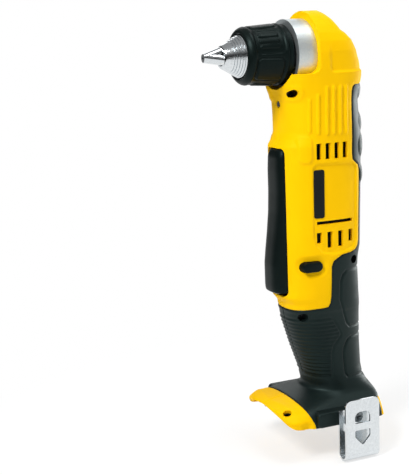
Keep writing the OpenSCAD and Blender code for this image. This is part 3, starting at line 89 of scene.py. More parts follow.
# Height, reach to the front and to the rear, half width, squareness of the front and of the rear
BODY_SECTIONS = np.array([
    (0, 42.3, 31.79, 36.3, 12, 12), (5, 45.2, 31.79, 35.6, 9, 9), (9, 47.3, 31.79, 33, 4.8, 9),
    (10.8, 47.6, 31.79, 31, 3.8, 9), (12.6, 42, 31.79, 29, 2.8, 9), (14.6, 34, 31.7, 26.4, 2.2, 8.5),
    (16.4, 23.4, 31.2, 24.2, 2, 7.5), (18.6, 15.8, 30.4, 22.6, 2, 5.5), (21.7, 14.2, 29, 21.5, 2.1, 3.8),
    (26.5, 15, 27.6, 20.7, 2.3, 2.9), (33, 16.4, 27, 20.3, 2.5, 2.6), (50, 22.8, 27, 19.8, 2.5, 2.5),
    (70, 29, 27, 20.9, 2.5, 2.5), (75.5, 29.2, 26.8, 21.4, 2.6, 2.6), (76.5, 29.8, 26.8, 22, 2.6, 2.6),
    (82, 29.8, 26.2, 22.6, 2.7, 2.7), (87, 33.6, 25.6, 23, 2.8, 2.8), (92, 33, 25.1, 23.3, 2.9, 2.9),
    (105, 33, 24.4, 23.7, 2.9, 2.9), (112, 33, 24.9, 23.9, 2.9, 2.9), (120, 33, 26.6, 24, 2.9, 2.9),
    (165, 33, 27.8, 24.6, 2.9, 2.9), (191, 33, 28, 25.2, 2.9, 2.9), (195.5, 30, 28.2, 25.3, 2.8, 2.8),
    (200, 28.9, 28.2, 25.4, 2.7, 2.7), (212, 28.9, 26.7, 25.5, 2.7, 2.7), (220, 29.3, 26.1, 25.6, 2.7, 2.7),
    (225, 30.2, 26.6, 25.8, 2.8, 2.8), (230, 31.79, 27.5, 26, 3, 3), (236, 32.3, 28, 26.4, 3.2, 3.2),
    (241, 32.3, 27.6, 26.8, 3.4, 3.4), (246, 32.3, 26.4, 26.9, 3.6, 3.6), (253, 32.3, 23.4, 26.9, 3.8, 3.8),
    (260, 32.3, 19.3, 25.8, 3.8, 3.8), (265, 32.3, 15, 23.8, 3.6, 3.6), (266.4, 32.3, 12.4, 23, 3.6, 3.6),
    (270, 32.3, 10.6, 20.6, 3.4, 3.4), (274, 32.3, 8.2, 16.6, 3.2, 3.2), (277, 32.3, 5.4, 12.1, 3, 3),
    (279, 32.3, 3.2, 7.1, 3, 3), (279.8, 32.3, 1.4, 2.6, 3, 3), (BODY_TOP, 32.3, 1, 0.05, 3, 3),
], float)
# Straight sided vents through each side: their two upright edges, foot and top
VENTS = [(x - 1.85, x + 1.85, 182.2, 193.0) for x in (-12.4, -5.8, 0.9, 7.4)]
VENTS += [(-14.4, -10.4, 125.2, 132.6), (-6.4, -2.4, 121.4, 132.6), (2.0, 6.0, 121.0, 132.6),
          (10.8, 14.6, 124.2, 132.6), (-14.2, 14.2, 137.9, 140.3)]


def section_at(z, soften=0.7):
    """Front, rear, half width and squareness of the body, eased over a short height."""
    near = [z + s for s in np.linspace(-soften, soften, 5)]
    heights, *columns = BODY_SECTIONS.T
    return [np.mean([np.interp(n, heights, column) for n in near], axis=0) for column in columns]


def body_rows():
    """Heights of the skin's rows and the flat that cuts each one off at the front."""
    z = np.linspace(0, BODY_TOP, 5601)
    front, rear, half = section_at(z)[:3]
    front = np.where(z > SHELF_TOP, -HEAD_FRONT, front)
    steps = [np.abs(np.diff(v)) for v in (front, rear, half)]
    reach = np.minimum(np.max(steps, axis=0), 0.6)
    along = np.concatenate([[0], np.cumsum(np.hypot(np.diff(z), reach))])
    heights = np.append(np.interp(np.arange(0, along[-1], CELL), along, z), BODY_TOP)
    for edge in {v for vent in VENTS for v in vent[2:]}:
        heights[np.argmin(np.abs(heights - edge))] = edge
    rows = [(h, UNCUT) for h in heights if h < SHELF_TOP - CELL / 3]
    rows += [(SHELF_TOP, flat) for flat in np.arange(SHELF_FRONT, HEAD_FRONT - SHELF_FILLET, 1.0)]
    for a in np.linspace(0, math.pi / 2, 9):
        rise, back = SHELF_FILLET * (1 - math.cos(a)), SHELF_FILLET * (1 - math.sin(a))
        rows.append((SHELF_TOP + rise, HEAD_FRONT - back))
    rows += [(h, HEAD_FRONT) for h in heights if h > SHELF_TOP + SHELF_FILLET + CELL / 3]
    return np.array(rows)


def shelf_height(y):
    """Top of the neck ahead of the head: the collar's round bed and the flat beside it."""
    bed = AXIS_Z - np.sqrt(np.maximum(COLLAR_BED ** 2 - y ** 2, 0))
    return np.minimum(bed, SHELF_TOP)


def lip_height(y):
    """Underside of the foot's front lip, an arch from side to side."""
    return ARCH_TOP - ARCH_RADIUS + np.sqrt(ARCH_RADIUS ** 2 - y ** 2)


def body_point(t, z):
    """A point of the plain body's section, by its turn from the front."""
    front, rear, half, front_power, rear_power = section_at(z)
    middle, deep = (rear - front) / 2, (rear + front) / 2
    c, s = np.cos(t), np.abs(np.sin(t))
    power = np.where(c > 0, front_power, rear_power)
    return middle - deep * np.sign(c) * np.abs(c) ** (2 / power), half * s ** (2 / power)


def even_turns(z, flat):
    """Turns that lie evenly along a section which is cut off by a flat."""
    t = np.linspace(0, math.pi, 721)
    x, y = body_point(t, np.full(t.shape, z))
    steps = np.hypot(np.diff(np.maximum(x, flat)), np.diff(y)) + 1e-9
    along = np.concatenate([[0], np.cumsum(steps)])
    return np.interp(np.linspace(0, along[-1], COLUMNS + 1), along, t)


def straighten_vents(grid):
    """Slides the points next to each straight sided vent on to its two upright edges."""
    for x0, x1, z0, z1 in VENTS:
        level = grid[:, COLUMNS // 2, 2]
        rows = np.flatnonzero((level > z0 - 0.01) & (level < z1 + 0.01))
        for edge in (x0, x1):
            column = np.argmin(np.abs(grid[rows[len(rows) // 2], :, 0] - edge))
            for i in rows:
                y = np.interp(edge, grid[i, :, 0], grid[i, :, 1])
                grid[i, column, :2] = edge, y
    return grid


def body_skin():
    """Grid of points over one half of the body, from the front seam round to the rear seam."""
    shelf_turns = even_turns(SHELF_TOP, UNCUT)
    grid = []
    for row, flat in body_rows():
        # The columns run straight past the shelf, so that its rows meet at the sides
        share = np.clip(min(row - STRAIGHT_FROM, STRAIGHT_TO - row) / STRAIGHT_EASE, 0, 1)
        turns = even_turns(row, HEAD_FRONT if row > SHELF_TOP else UNCUT)
        t = turns * (1 - share) + shelf_turns * share
        z = np.full(t.shape, row)
        # A point's height and its place across follow from each other, so a few rounds settle them
        for _ in range(8):
            x, y = body_point(t, z)
            low = np.where(x < LIP_BACK, np.maximum(row, lip_height(y)), row)
            ahead = (x < HEAD_FRONT) & (row <= SHELF_TOP)
            z = np.where(ahead, np.minimum(low, shelf_height(y)), low)
        # The fillet ends where the collar begins
        behind = (np.hypot(y, z - AXIS_Z) < COLLAR_BED) & (row > SHELF_TOP)
        x = np.maximum(x, np.where(behind, max(flat, HEAD_FRONT), flat))
        grid.append(np.stack([x, y, z], -1))
    grid[-1][:, 1] = 0
    return straighten_vents(np.array(grid))


def grid_normals(grid):
    """Outward directions over a grid of points."""
    up = np.gradient(grid, axis=0)
    along = np.gradient(grid, axis=1)
    rows = np.arange(len(grid))
    # Where rows fall together, the way up is taken from rows further off
    for reach in (3, 9, 30):
        wide = grid[np.minimum(rows + reach, len(grid) - 1)] - grid[np.maximum(rows - reach, 0)]
        up = np.where(np.linalg.norm(up, axis=-1, keepdims=True) < 0.06, wide, up)
    n = np.cross(up, along)
    n /= np.linalg.norm(n, axis=-1, keepdims=True) + 1e-12
    return n


def from_line(x, z, x0, z0, x1, z1):
    """Distance to the straight line between two points."""
    ex, ez = x1 - x0, z1 - z0
    t = np.clip(((x - x0) * ex + (z - z0) * ez) / (ex * ex + ez * ez + 1e-12), 0, 1)
    return np.hypot(x - x0 - t * ex, z - z0 - t * ez)


def inside_outline(outline, x, z):
    """Distance to a closed outline, positive inside it."""
    corners = np.asarray(outline, float)
    best = np.full(x.shape, 1e9)
    inside = np.zeros(x.shape, bool)
    for (x0, z0), (x1, z1) in zip(corners, np.roll(corners, -1, axis=0)):
        best = np.minimum(best, from_line(x, z, x0, z0, x1, z1))
        if z0 != z1:
            inside ^= ((z0 > z) != (z1 > z)) & (x < x0 + (z - z0) * (x1 - x0) / (z1 - z0))
    return np.where(inside, best, -best)


def inside_slot(x, z, x0, z0, x1, z1, radius):
    """Distance to a slot with round ends, positive inside it."""
    return radius - from_line(x, z, x0, z0, x1, z1)


def inside_box(x, z, low, high, corner):
    """Distance to a box with round corners, positive inside it."""
    dx = np.abs(x - (low[0] + high[0]) / 2) - (high[0] - low[0]) / 2 + corner
    dz = np.abs(z - (low[1] + high[1]) / 2) - (high[1] - low[1]) / 2 + corner
    past = np.hypot(np.maximum(dx, 0), np.maximum(dz, 0))
    return corner - past - np.minimum(np.maximum(dx, dz), 0)


def ramp(d, width):
    """0 outside an edge and 1 inside it, turned smoothly over the width."""
    t = np.clip(d / width + 0.5, 0, 1)
    return t * t * (3 - 2 * t)


def bell(d, width):
    """1 on a line, falling off smoothly on both sides over the width."""
    return np.exp(-((d / width) ** 2))


def snap_to_edge(grid, gap):
    """Slides the points next to a cut on to its edge. gap gives the distance inside the cut."""
    d = gap(grid)
    up, along = np.gradient(grid, axis=0), np.gradient(grid, axis=1)
    lu = np.linalg.norm(up, axis=-1) + 1e-9
    lv = np.linalg.norm(along, axis=-1) + 1e-9
    gu, gv = np.gradient(d, axis=0) / lu, np.gradient(d, axis=1) / lv
    steep = np.maximum(gu * gu + gv * gv, 0.2)
    near = np.abs(d) < 0.62 * np.minimum(np.maximum(lu, lv), 1.2)
    uphill = gu[..., None] * up / lu[..., None] + gv[..., None] * along / lv[..., None]
    shift = -(d / steep)[..., None] * uphill
    return np.where(near[..., None], grid + shift, grid), np.where(near, 0.0, d)


def cell_corners(values):
    """The values at the four corners of every cell of a grid."""
    return np.stack([values[:-1, :-1], values[1:, :-1], values[1:, 1:], values[:-1, 1:]])


def add_object(name, data):
    """A new object in the scene."""
    made = bpy.data.objects.new(name, data)
    bpy.context.scene.collection.objects.link(made)
    return made


def skin_piece(name, grid, keep, draw, flip):
    """Mesh of a moulded skin: the kept cells of a grid, with each edge turned in along its draw."""
    index = np.arange(grid.shape[0] * grid.shape[1]).reshape(grid.shape[:2])
    cells = np.moveaxis(cell_corners(index), 0, -1)[keep]
    if flip:
        cells = cells[:, ::-1]
    used, cells = np.unique(cells, return_inverse=True)
    mesh = bpy.data.meshes.new(name)
    mesh.from_pydata((grid.reshape(-1, 3)[used] * MM).tolist(), [], cells.reshape(-1, 4).tolist())
    bm = bmesh.new()
    bm.from_mesh(mesh)
    way = bm.verts.layers.float_vector.new("draw")
    for v, d in zip(bm.verts, draw.reshape(-1, 3)[used] * MM):
        v[way] = d
    bmesh.ops.remove_doubles(bm, verts=bm.verts, dist=2e-5)
    bmesh.ops.dissolve_degenerate(bm, edges=bm.edges, dist=3e-5)
    rim = [e for e in bm.edges if e.is_boundary]
    made = bmesh.ops.extrude_edge_only(bm, edges=rim)
    for v in [g for g in made["geom"] if isinstance(g, bmesh.types.BMVert)]:
        v.co += v[way]
    for f in bm.faces:
        f.smooth = True
    for e in rim:
        e.smooth = False
    bm.verts.layers.float_vector.remove(way)
    bm.to_mesh(mesh)
    bm.free()
    return add_object(name, mesh)


SCREWS = [(-27.0, 226.5), (15.3, 110.9), (-22.6, 73.3)]
HOUSING_POCKETS = (2.7, 4.2, 4.2)
BUTTON = (-18.2, 109.5)
BUTTON_RUN = 4.0
BUTTON_RADIUS = 3.5
BUTTON_PLAY = 0.4
BUTTON_LINE = (BUTTON[0] - BUTTON_RUN, BUTTON[1], BUTTON[0] + BUTTON_RUN, BUTTON[1])
LAMP_Z = 219.0
LAMP_RADIUS = 2.6
TRIGGER_ROOM = ((-12.1, 88.2), (12.1, 189.9), 4.0)


def side_gaps(grid, near):
    """Distance inside the round openings that are drawn sideways out of the mould."""
    x, y, z = np.moveaxis(grid, -1, 0)
    cuts = [inside_slot(x, z, *BUTTON_LINE, BUTTON_RADIUS + BUTTON_PLAY)]
    if near:
        cuts += [radius - np.hypot(x - sx, z - sz) for (sx, sz), radius in zip(SCREWS, HOUSING_POCKETS)]
    return np.minimum(np.maximum.reduce(cuts), y - SIDE_Y)


def front_gaps(grid):
    """Distance inside the openings in the front: the trigger's and the lamp's."""
    x, y, z = np.moveaxis(grid, -1, 0)
    lamp = LAMP_RADIUS - np.hypot(y, z - LAMP_Z)
    return np.minimum(np.maximum(inside_box(y, z, *TRIGGER_ROOM), lamp), FRONT_X - x)


def in_vents(grid):
    """Cells of the grid that lie in a straight sided vent, or behind the collar."""
    x, y, z = np.moveaxis(cell_corners(grid).mean(axis=0), -1, 0)
    behind = (np.hypot(y, z - AXIS_Z) < COLLAR_BED - 2) & (x < HEAD_FRONT + 0.3)
    open_cells = behind & (z > SHELF_TOP)
    for x0, x1, z0, z1 in VENTS:
        open_cells |= (x > x0) & (x < x1) & (z > z0) & (z < z1) & (y > SIDE_Y)
    return open_cells


def on_lip_edge(grid):
    """Points on the arched edge of the foot's lip."""
    x, y, z = np.moveaxis(grid, -1, 0)
    return (lip_height(y) > z - 0.05) & (x < LIP_BACK)


# The outline of the rubber cover, which the housing is sunk along
GRIP_OUTLINE = [
    (-63.75, 76.1), (-6.1, 79.9), (-4.6, 82.5), (-3.95, 87.7), (-3.57, 108.4), (-2.2, 111.8), (0, 113.4),
    (5.1, 115.9), (12, 116.6), (17.1, 117.9), (19.6, 120.2), (20.9, 123.5), (21.4, 172.1), (20, 176),
    (16.2, 178.6), (14.3, 180.4), (13.8, 184), (14, 226), (14.6, 229), (16.1, 230.6), (60, 230.6),
    (60, 11.3), (29.1, 11.3), (28, -5), (-25, -5), (-25.5, 2), (-29.1, 11.1), (-30.6, 16), (-32.9, 19.4),
    (-42.6, 22.4), (-63.75, 22.7),
]
SHIELD_PANEL = [
    (-16.7, 176.5), (-14.2, 179), (14.4, 178.2), (17.6, 175), (17.4, 124), (14.5, 119.4), (6, 117.4),
    (-4, 117.2), (-10.4, 119), (-14.8, 123.6), (-16.7, 130),
]
PANEL_DEPTH = 1.0
FLUTES = [(-18, 201, 222), (-12.4, 200, 224.7), (-6.2, 199.5, 229.4), (-1, 199.5, 229.6),
          (4, 199.5, 229.6), (8.6, 199.5, 229.4)]
FLUTE_HEIGHT, FLUTE_RADIUS = 0.9, 1.0
BOSS = ((-25.6, 180), (-17.2, 198), 3)
BOSS_HEIGHT = 1.1
HEAD_STEP = ((-3, 239.8), (40, 280), 2.5)
STEP_DEPTH = 1.1
DISH_DEPTH, DISH_RADIUS = 1.3, 6.2
SCREW_RING, SCREW_RING_RADIUS = 0.8, 5.4
CREASE_X, CREASE_HEIGHT = -42, 0.7
COVER_GROOVE, COVER_SINK = 0.45, 1.3
SEAM_DEPTH = 0.35
TUCK_SLOPE, TUCK_Z, TUCK_Y, TUCK_X = 0.38, 6.5, 27.0, -28.0


def housing_relief(grid):
    """How far the housing's moulded forms stand proud of the plain body."""
    x, y, z = np.moveaxis(grid, -1, 0)
    lift = np.zeros(x.shape)
    for fx, low, high in FLUTES:
        lift += FLUTE_HEIGHT * ramp(inside_slot(x, z, fx, low, fx, high, FLUTE_RADIUS), 1.1)
    lift += BOSS_HEIGHT * ramp(inside_box(x, z, *BOSS), 2.2)
    lift -= PANEL_DEPTH * ramp(inside_outline(SHIELD_PANEL, x, z), 1.3)
    lift -= STEP_DEPTH * ramp(inside_box(x, z, *HEAD_STEP), 1.8) * ramp(254 - z, 14.0)
    lift -= DISH_DEPTH * ramp(inside_slot(x, z, *BUTTON_LINE, DISH_RADIUS), 4.4)
    lift += SCREW_RING * ramp(SCREW_RING_RADIUS - np.hypot(x - SCREWS[0][0], z - SCREWS[0][1]), 2.0)
    lift *= ramp(y - SIDE_Y, 5.0)
    # Foot lip: a crease between its two facets
    crease = np.abs(x - CREASE_X - np.abs(y) / 6)
    lift += CREASE_HEIGHT * np.clip(1 - crease / 4.5, 0, 1) * ((z < 14.5) & (x < LIP_BACK))
    # A groove along the cover's edge, room under the cover, and the seam of the two halves
    cover = inside_outline(GRIP_OUTLINE, x, z)
    lift -= COVER_GROOVE * bell(np.minimum(cover, 0), 0.7) + COVER_SINK * ramp(cover - 0.8, 1.6)
    lift -= SEAM_DEPTH * bell(y, 0.55) * ramp(np.where(x < 0, 220, 262) - z, 6.0)
    return lift


def lip_tuck(grid):
    """How far the lip's lower sides slope in, below a crease."""
    x, y, z = np.moveaxis(grid, -1, 0)
    return TUCK_SLOPE * np.maximum(TUCK_Z - z, 0) * ramp(y - TUCK_Y, 5.0) * ramp(TUCK_X - x, 5.0)


def linear(colour):
    """Linear colour from an sRGB hex value."""
    parts = [int(colour[i:i + 2], 16) / 255 for i in (0, 2, 4)]
    return (*[p / 12.92 if p <= 0.04045 else ((p + 0.055) / 1.055) ** 2.4 for p in parts], 1.0)


def add_node(tree, kind, values=None, links=None, **settings):
    """Adds a node with its settings, the values of its sockets and what feeds them."""
    node = tree.nodes.new(kind)
    for key, value in settings.items():
        setattr(node, key, value)
    for key, value in (values or {}).items():
        node.inputs[key].default_value = value
    for key, source in (links or {}).items():
        tree.links.new(source, node.inputs[key])
    return node


def start_material(name, **values):
    """A material with its shader's own sockets set, and its tree, shader and place on the piece."""
    material = bpy.data.materials.new(name)
    material.use_nodes = True
    tree = material.node_tree
    shader = tree.nodes["Principled BSDF"]
    for key, value in values.items():
        shader.inputs[key.replace("_", " ")].default_value = value
    place = add_node(tree, "ShaderNodeTexCoord").outputs["Object"]
    return material, tree, shader, place


def mottled_tone(tree, shader, place, dark, light, size, detail):
    """A colour that drifts between two tones over the size in mm. Gives the noise that it follows."""
    noise = add_node(tree, "ShaderNodeTexNoise", {"Scale": 1 / (size * MM), "Detail": detail},
                     {"Vector": place})
    tone = add_node(tree, "ShaderNodeMixRGB", {"Color1": linear(dark), "Color2": linear(light)},
                    {"Fac": noise.outputs["Fac"]})
    tree.links.new(tone.outputs["Color"], shader.inputs["Base Color"])
    return noise.outputs["Fac"]


def moulded_finish(tree, shader, place, dark, light, grain, height, rough):
    """Even moulded surface: a faint flow of tone, a fine eroded grain and a gloss that varies with it."""
    mottled_tone(tree, shader, place, dark, light, 22, 3.0)
    fine = add_node(tree, "ShaderNodeTexNoise", {"Scale": 1 / (grain * MM), "Detail": 2.0},
                    {"Vector": place})
    gloss = add_node(tree, "ShaderNodeMapRange", {"To Min": rough - 0.05, "To Max": rough + 0.07},
                     {"Value": fine.outputs["Fac"]})
    tree.links.new(gloss.outputs["Result"], shader.inputs["Roughness"])
    bump = add_node(tree, "ShaderNodeBump", {"Strength": 0.6, "Distance": height * MM},
                    {"Height": fine.outputs["Fac"]})
    tree.links.new(bump.outputs["Normal"], shader.inputs["Normal"])


# Glass filled nylon, spark eroded tool: an even satin yellow that goes warmer in the shade.
# The grain is drawn at 0.7 mm, coarser than the real one, so that it shows.
yellow_nylon, tree, shader, place = start_material(
    "yellow_nylon_moulded", IOR=1.53, Roughness=0.55, Specular_IOR_Level=0.04)
moulded_finish(tree, shader, place, "F5BE00", "FFC800", 0.7, 0.05, 0.55)

base_skin = body_skin()
base_normals = grid_normals(base_skin)

# A round recess in the near side of the foot's lip, square to the skin nearest to this point
LIP_RECESS = (-41.0, 25.0, 9.0)
RECESS_RADIUS = 3.0
RECESS_WALL = [(RECESS_RADIUS, -0.1), (RECESS_RADIUS, 1.9), (RECESS_RADIUS, 4.3), (0.2, 4.3)]
nearest = np.argmin(np.linalg.norm(base_skin - LIP_RECESS, axis=-1))
recess_middle, recess_way = [v.reshape(-1, 3)[nearest] for v in (base_skin, base_normals)]


def mirrored(grid, near):
    """The grid on its own side of the tool: the near side is -Y."""
    return grid * np.array([1, -1 if near else 1, 1])


def closed_piece(name, bm, angle):
    """Object from a mesh, turned outwards and smooth between the edges sharper than the angle."""
    bmesh.ops.recalc_face_normals(bm, faces=bm.faces)
    for f in bm.faces:
        f.smooth = True
    mesh = bpy.data.meshes.new(name)
    bm.to_mesh(mesh)
    bm.free()
    mesh.set_sharp_from_angle(angle=math.radians(angle))
    return add_object(name, mesh)


def ring_piece(name, rings, closed_ends=(True, True)):
    """Mesh through a row of rings with the same number of points."""
    count, around = rings.shape[:2]
    bm = bmesh.new()
    verts = [[bm.verts.new(Vector(p) * MM) for p in ring] for ring in rings]
    for i in range(count - 1):
        for j in range(around):
            k = (j + 1) % around
            bm.faces.new((verts[i][j], verts[i][k], verts[i + 1][k], verts[i + 1][j]))
    if closed_ends[0]:
        bm.faces.new(verts[0][::-1])
    if closed_ends[1]:
        bm.faces.new(verts[-1])
    bmesh.ops.remove_doubles(bm, verts=bm.verts, dist=1e-7)
    return closed_piece(name, bm, 38)


def recess_rings(name, profile):
    """Turned shape round the recess's axis: profile gives the radius and the depth below the skin."""
    across = np.cross(recess_way, (0, 0, 1.0))
    across /= np.linalg.norm(across)
    other = np.cross(recess_way, across)
    turn = np.linspace(0, 2 * math.pi, 28, endpoint=False)[:, None]
    circle = np.cos(turn) * across + np.sin(turn) * other
    rings = [recess_middle - recess_way * depth + radius * circle for radius, depth in profile]
    return ring_piece(name, mirrored(np.array(rings), True), (False, True))


ON_EDGE = 0.3


def draw_ways(grid, side, front):
    """How each point's edge turns in: sideways, rearwards, or square to the skin."""
    x, y, z = np.moveaxis(grid, -1, 0)
    ways = -base_normals * WALL
    ways[np.abs(front) < ON_EDGE] = (WALL, 0, 0)
    ways[np.abs(side) < ON_EDGE] = (0, -WALL, 0)
    for x0, x1, z0, z1 in VENTS:
        rim = np.abs(inside_box(x, z, (x0, z0), (x1, z1), 0.01)) < ON_EDGE
        ways[rim & (y > SIDE_Y)] = (0, -WALL, 0)
    ways[on_lip_edge(grid)] = (WALL, 0, 0)
    # The front seam's corner under the collar turns in on the slant
    corner = (np.abs(z[:, 0] - shelf_height(0.0)) < 0.05) & (x[:, 0] < HEAD_FRONT)
    ways[corner, 0] = (0.5 * WALL, 0, -0.87 * WALL)
    return ways


def join(piece, other):
    """Puts another mesh into a piece's own mesh."""
    bm = bmesh.new()
    for part in (piece, other):
        bm.from_mesh(part.data)
    bm.to_mesh(piece.data)
    bm.free()
    bpy.data.objects.remove(other)


def recess_gap(grid):
    """Distance inside the recess in the foot's lip."""
    return RECESS_RADIUS - np.linalg.norm(grid - recess_middle, axis=-1)


def make_housing(name, near):
    """One half's skin, with its openings, its moulded forms and its edges turned in."""
    grid, side = snap_to_edge(base_skin, lambda g: side_gaps(g, near))
    grid, front = snap_to_edge(grid, front_gaps)
    gap = np.maximum(side, front)
    if near:
        grid, recess = snap_to_edge(grid, recess_gap)
        gap = np.maximum(gap, recess)
    ways = draw_ways(grid, side, front)
    keep = (cell_corners(gap).sum(axis=0) <= 0) & ~in_vents(grid)
    lift = np.where(on_lip_edge(grid), 0, housing_relief(grid))
    # Next to the openings in the sides the forms are drawn straight out of the mould
    bare = ramp(-inside_outline(GRIP_OUTLINE, grid[..., 0], grid[..., 2]), 2.0)
    straight = (ramp(side + 3.0, 3.0) * bare)[..., None]
    normals = base_normals * (1 - straight) + np.array((0, 1, 0)) * straight
    grid = grid + normals * lift[..., None]
    grid[..., 1] -= lip_tuck(grid)
    piece = skin_piece(name, mirrored(grid, near), keep, mirrored(ways, near), near)
    if near:
        join(piece, recess_rings(name + "_recess", RECESS_WALL))
    return piece


def dress(piece, body, slot, material, *replaced):
    """Gives a piece its material and its body, and hides the nodes that it stands for. The slot is not
    used.
    """
    piece.data.materials.clear()
    piece.data.materials.append(material)
    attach(piece, body)
    if replaced:
        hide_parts(*replaced)


dress(make_housing("near_housing_skin", True), "tool", "yellow_plastic", yellow_nylon, "left_housing")
dress(make_housing("far_housing_skin", False), "tool", "yellow_plastic", yellow_nylon, "right_housing")

# Lip screw. A small socket screw of cold headed steel at the bottom of the recess in the foot's lip, that
# draws the two halves together across the foot. It is near black so that the recess reads dark: painted
# shade.
LIP_SCREW_SHADE = [(2.8, 4.0), (2.8, 2.3), (2.5, 2.0), (1.3, 2.0), (1.2, 3.0), (0.1, 3.0)]

# Painted shade: a dark satin grey steel with a faint mottle of 1 mm, which stands in for the shade deep in
# the recess.
screw_shade_steel, tree, shader, place = start_material("screw_painted_shade", Metallic=1.0, Roughness=0.5)
moulded_finish(tree, shader, place, "141516", "1E2021", 1.0, 0.01, 0.5)
dress(recess_rings("lip_screw_shade", LIP_SCREW_SHADE), "tool", "spring_steel", screw_shade_steel)

# Vent shade sheets. A sheet of black nylon inside each half, between the vents and the motor,
# set in so that the vents read dark: painted shade.
SHADE_SHEET_FOOT, SHADE_SHEET_TOP = 117, 198
SHADE_SHEET_DEPTH = 4.4
SHADE_SHEET_WALL = 0.6


def sheet_piece(name, grid, thick, near):
    """Thin sheet over the whole of a grid."""
    every = np.ones((grid.shape[0] - 1, grid.shape[1] - 1), bool)
    return skin_piece(name, mirrored(grid, near), every, mirrored(-thick * grid_normals(grid), near), near)


def make_vent_shade_sheet(name, near):
    """Sheet that follows the body's side, set in behind the vents as painted shade."""
    level = base_skin[:, COLUMNS // 2, 2]
    rows = np.flatnonzero((level > SHADE_SHEET_FOOT) & (level < SHADE_SHEET_TOP))[::4]
    grid = (base_skin - SHADE_SHEET_DEPTH * base_normals)[rows][:, 40:112:3]
    return sheet_piece(name, grid, SHADE_SHEET_WALL, near)


# Glass filled nylon, satin: a near black with a broad soft highlight. Grain at 0.6 mm.
black_nylon, tree, shader, place = start_material(
    "black_nylon_moulded", IOR=1.53, Roughness=0.4, Specular_IOR_Level=0.14,
    Specular_Tint=linear("C4E6E2"))
moulded_finish(tree, shader, place, "050A0A", "0A1211", 0.6, 0.04, 0.4)
# Painted shade: dark sheets behind the vents of each half.
dress(make_vent_shade_sheet("near_vent_shade_sheet", True), "tool", "black_plastic", black_nylon)
dress(make_vent_shade_sheet("far_vent_shade_sheet", False), "tool", "black_plastic", black_nylon)

# Grip covers. Soft rubber moulded over each half of the housing, flush with it, with a
# ribbed panel in front, two smooth panels behind and a raised pad along the foot.
COVER_WALL = 1.4
COVER_EDGE, EDGE_DROP = 1.3, 0.45
RIB_PITCH, FIRST_RIB = 2.75, 31.2
RIB_HEIGHT, RIB_SINK = 0.75, 0.5
FRONT_PANEL = [
    (-60, 71.5), (-4, 71.5), (-1.8, 70.5), (4.4, 60), (4.4, 57.6), (-1.1, 50.9), (-2.4, 46), (-2.7, 29.8),
    (-4, 28.4), (-60, 28.4),
]
UPPER_PANEL = [
    (60, 107), (8, 104), (5, 101.5), (3.4, 97), (3.2, 84), (9.4, 66.2), (12, 63.2), (60, 61.5),
]
LOWER_PANEL = [
    (60, 56.5), (13.4, 55.6), (10.2, 54), (7.2, 48.5), (6.5, 45), (7.4, 29.6), (9.4, 27), (60, 26),
]
# A groove runs along each panel's outline, this deep
PANEL_GROOVES = [(FRONT_PANEL, 0.6), (UPPER_PANEL, 0.85), (LOWER_PANEL, 0.85)]
GROOVE_WIDTH = 0.6
# Bumps along the back: their middle and half height
REAR_BUMPS = [(25.5, 224.5, 5.2), (25.5, 205.5, 6.4), (24.4, 189, 8.4), (25.5, 169.5, 6.4)]
BUMP_HALF, BUMP_HEIGHT = 4.6, 1.2
GRIP_POCKET, POCKET_DEPTH = 3.0, 9.0
PAD_LOW, PAD_HIGH = (-24.7, 0.15), (20.0, 10.7)
PAD_CORNER, PAD_EDGE = 3.0, 1.4
PAD_ROOT, PAD_OUT = 27.0, 38.4


def grip_relief(grid, d):
    """How far the rubber's forms stand proud of the plain body, d being the way in from its edge."""
    x, y, z = np.moveaxis(grid, -1, 0)
    rounded = -EDGE_DROP * (1 - np.clip(d / COVER_EDGE, 0, 1)) ** 2 + np.minimum(d, 0) * 1.4
    lift = np.where(d < COVER_EDGE, rounded, 0.0)
    wave = 0.5 + 0.5 * np.cos(2 * math.pi * (z - FIRST_RIB) / RIB_PITCH)
    ribbed = ramp(inside_outline(FRONT_PANEL, x, z) - 1.2, 1.4)
    lift += ribbed * (RIB_HEIGHT * wave ** 1.5 - RIB_SINK)
    for panel, depth in PANEL_GROOVES:
        lift -= depth * bell(inside_outline(panel, x, z), GROOVE_WIDTH)
    for bx, bz, half in REAR_BUMPS:
        dome = 1 - ((x - bx) / BUMP_HALF) ** 2 - ((z - bz) / half) ** 2
        lift += BUMP_HEIGHT * np.clip(dome, 0, 1) ** 0.8
    lift -= SEAM_DEPTH * bell(y, 0.5) * ramp(z - 30, 8.0)
    return lift


def grip_gaps(grid, near):
    """Distance inside the screw pockets through the rubber."""
    x, y, z = np.moveaxis(grid, -1, 0)
    if not near:
        return np.full(x.shape, -9.0)
    cuts = [GRIP_POCKET - np.hypot(x - sx, z - sz) for sx, sz in SCREWS[1:]]
    return np.minimum(np.maximum.reduce(cuts), y - SIDE_Y)


def arc(x, z, radius, start, end, count=9):
    """Points along part of a circle, in degrees."""
    turn = np.radians(np.linspace(start, end, count))
    return [(x + radius * math.cos(a), z + radius * math.sin(a)) for a in turn]


def foot_pad(name, near):
    """Raised pad along the side of the foot, with round edges."""
    x0, x1 = PAD_LOW[0] + PAD_CORNER, PAD_HIGH[0] - PAD_CORNER
    z0, z1 = PAD_LOW[1] + PAD_CORNER, PAD_HIGH[1] - PAD_CORNER
    steps = [(0.0, PAD_ROOT), (0.0, PAD_OUT - PAD_EDGE)]
    for a in np.linspace(0.2, math.pi / 2, 6):
        steps.append((PAD_EDGE * (1 - math.cos(a)), PAD_OUT - PAD_EDGE + PAD_EDGE * math.sin(a)))
    rings = []
    for inset, y in steps:
        ring = []
        for cx, cz, start in ((x1, z1, 0), (x0, z1, 90), (x0, z0, 180), (x1, z0, 270)):
            ring += [(x, y, z) for x, z in arc(cx, cz, PAD_CORNER - inset, start, start + 90, 8)]
        rings.append(ring)
    return ring_piece(name, mirrored(np.array(rings), near))


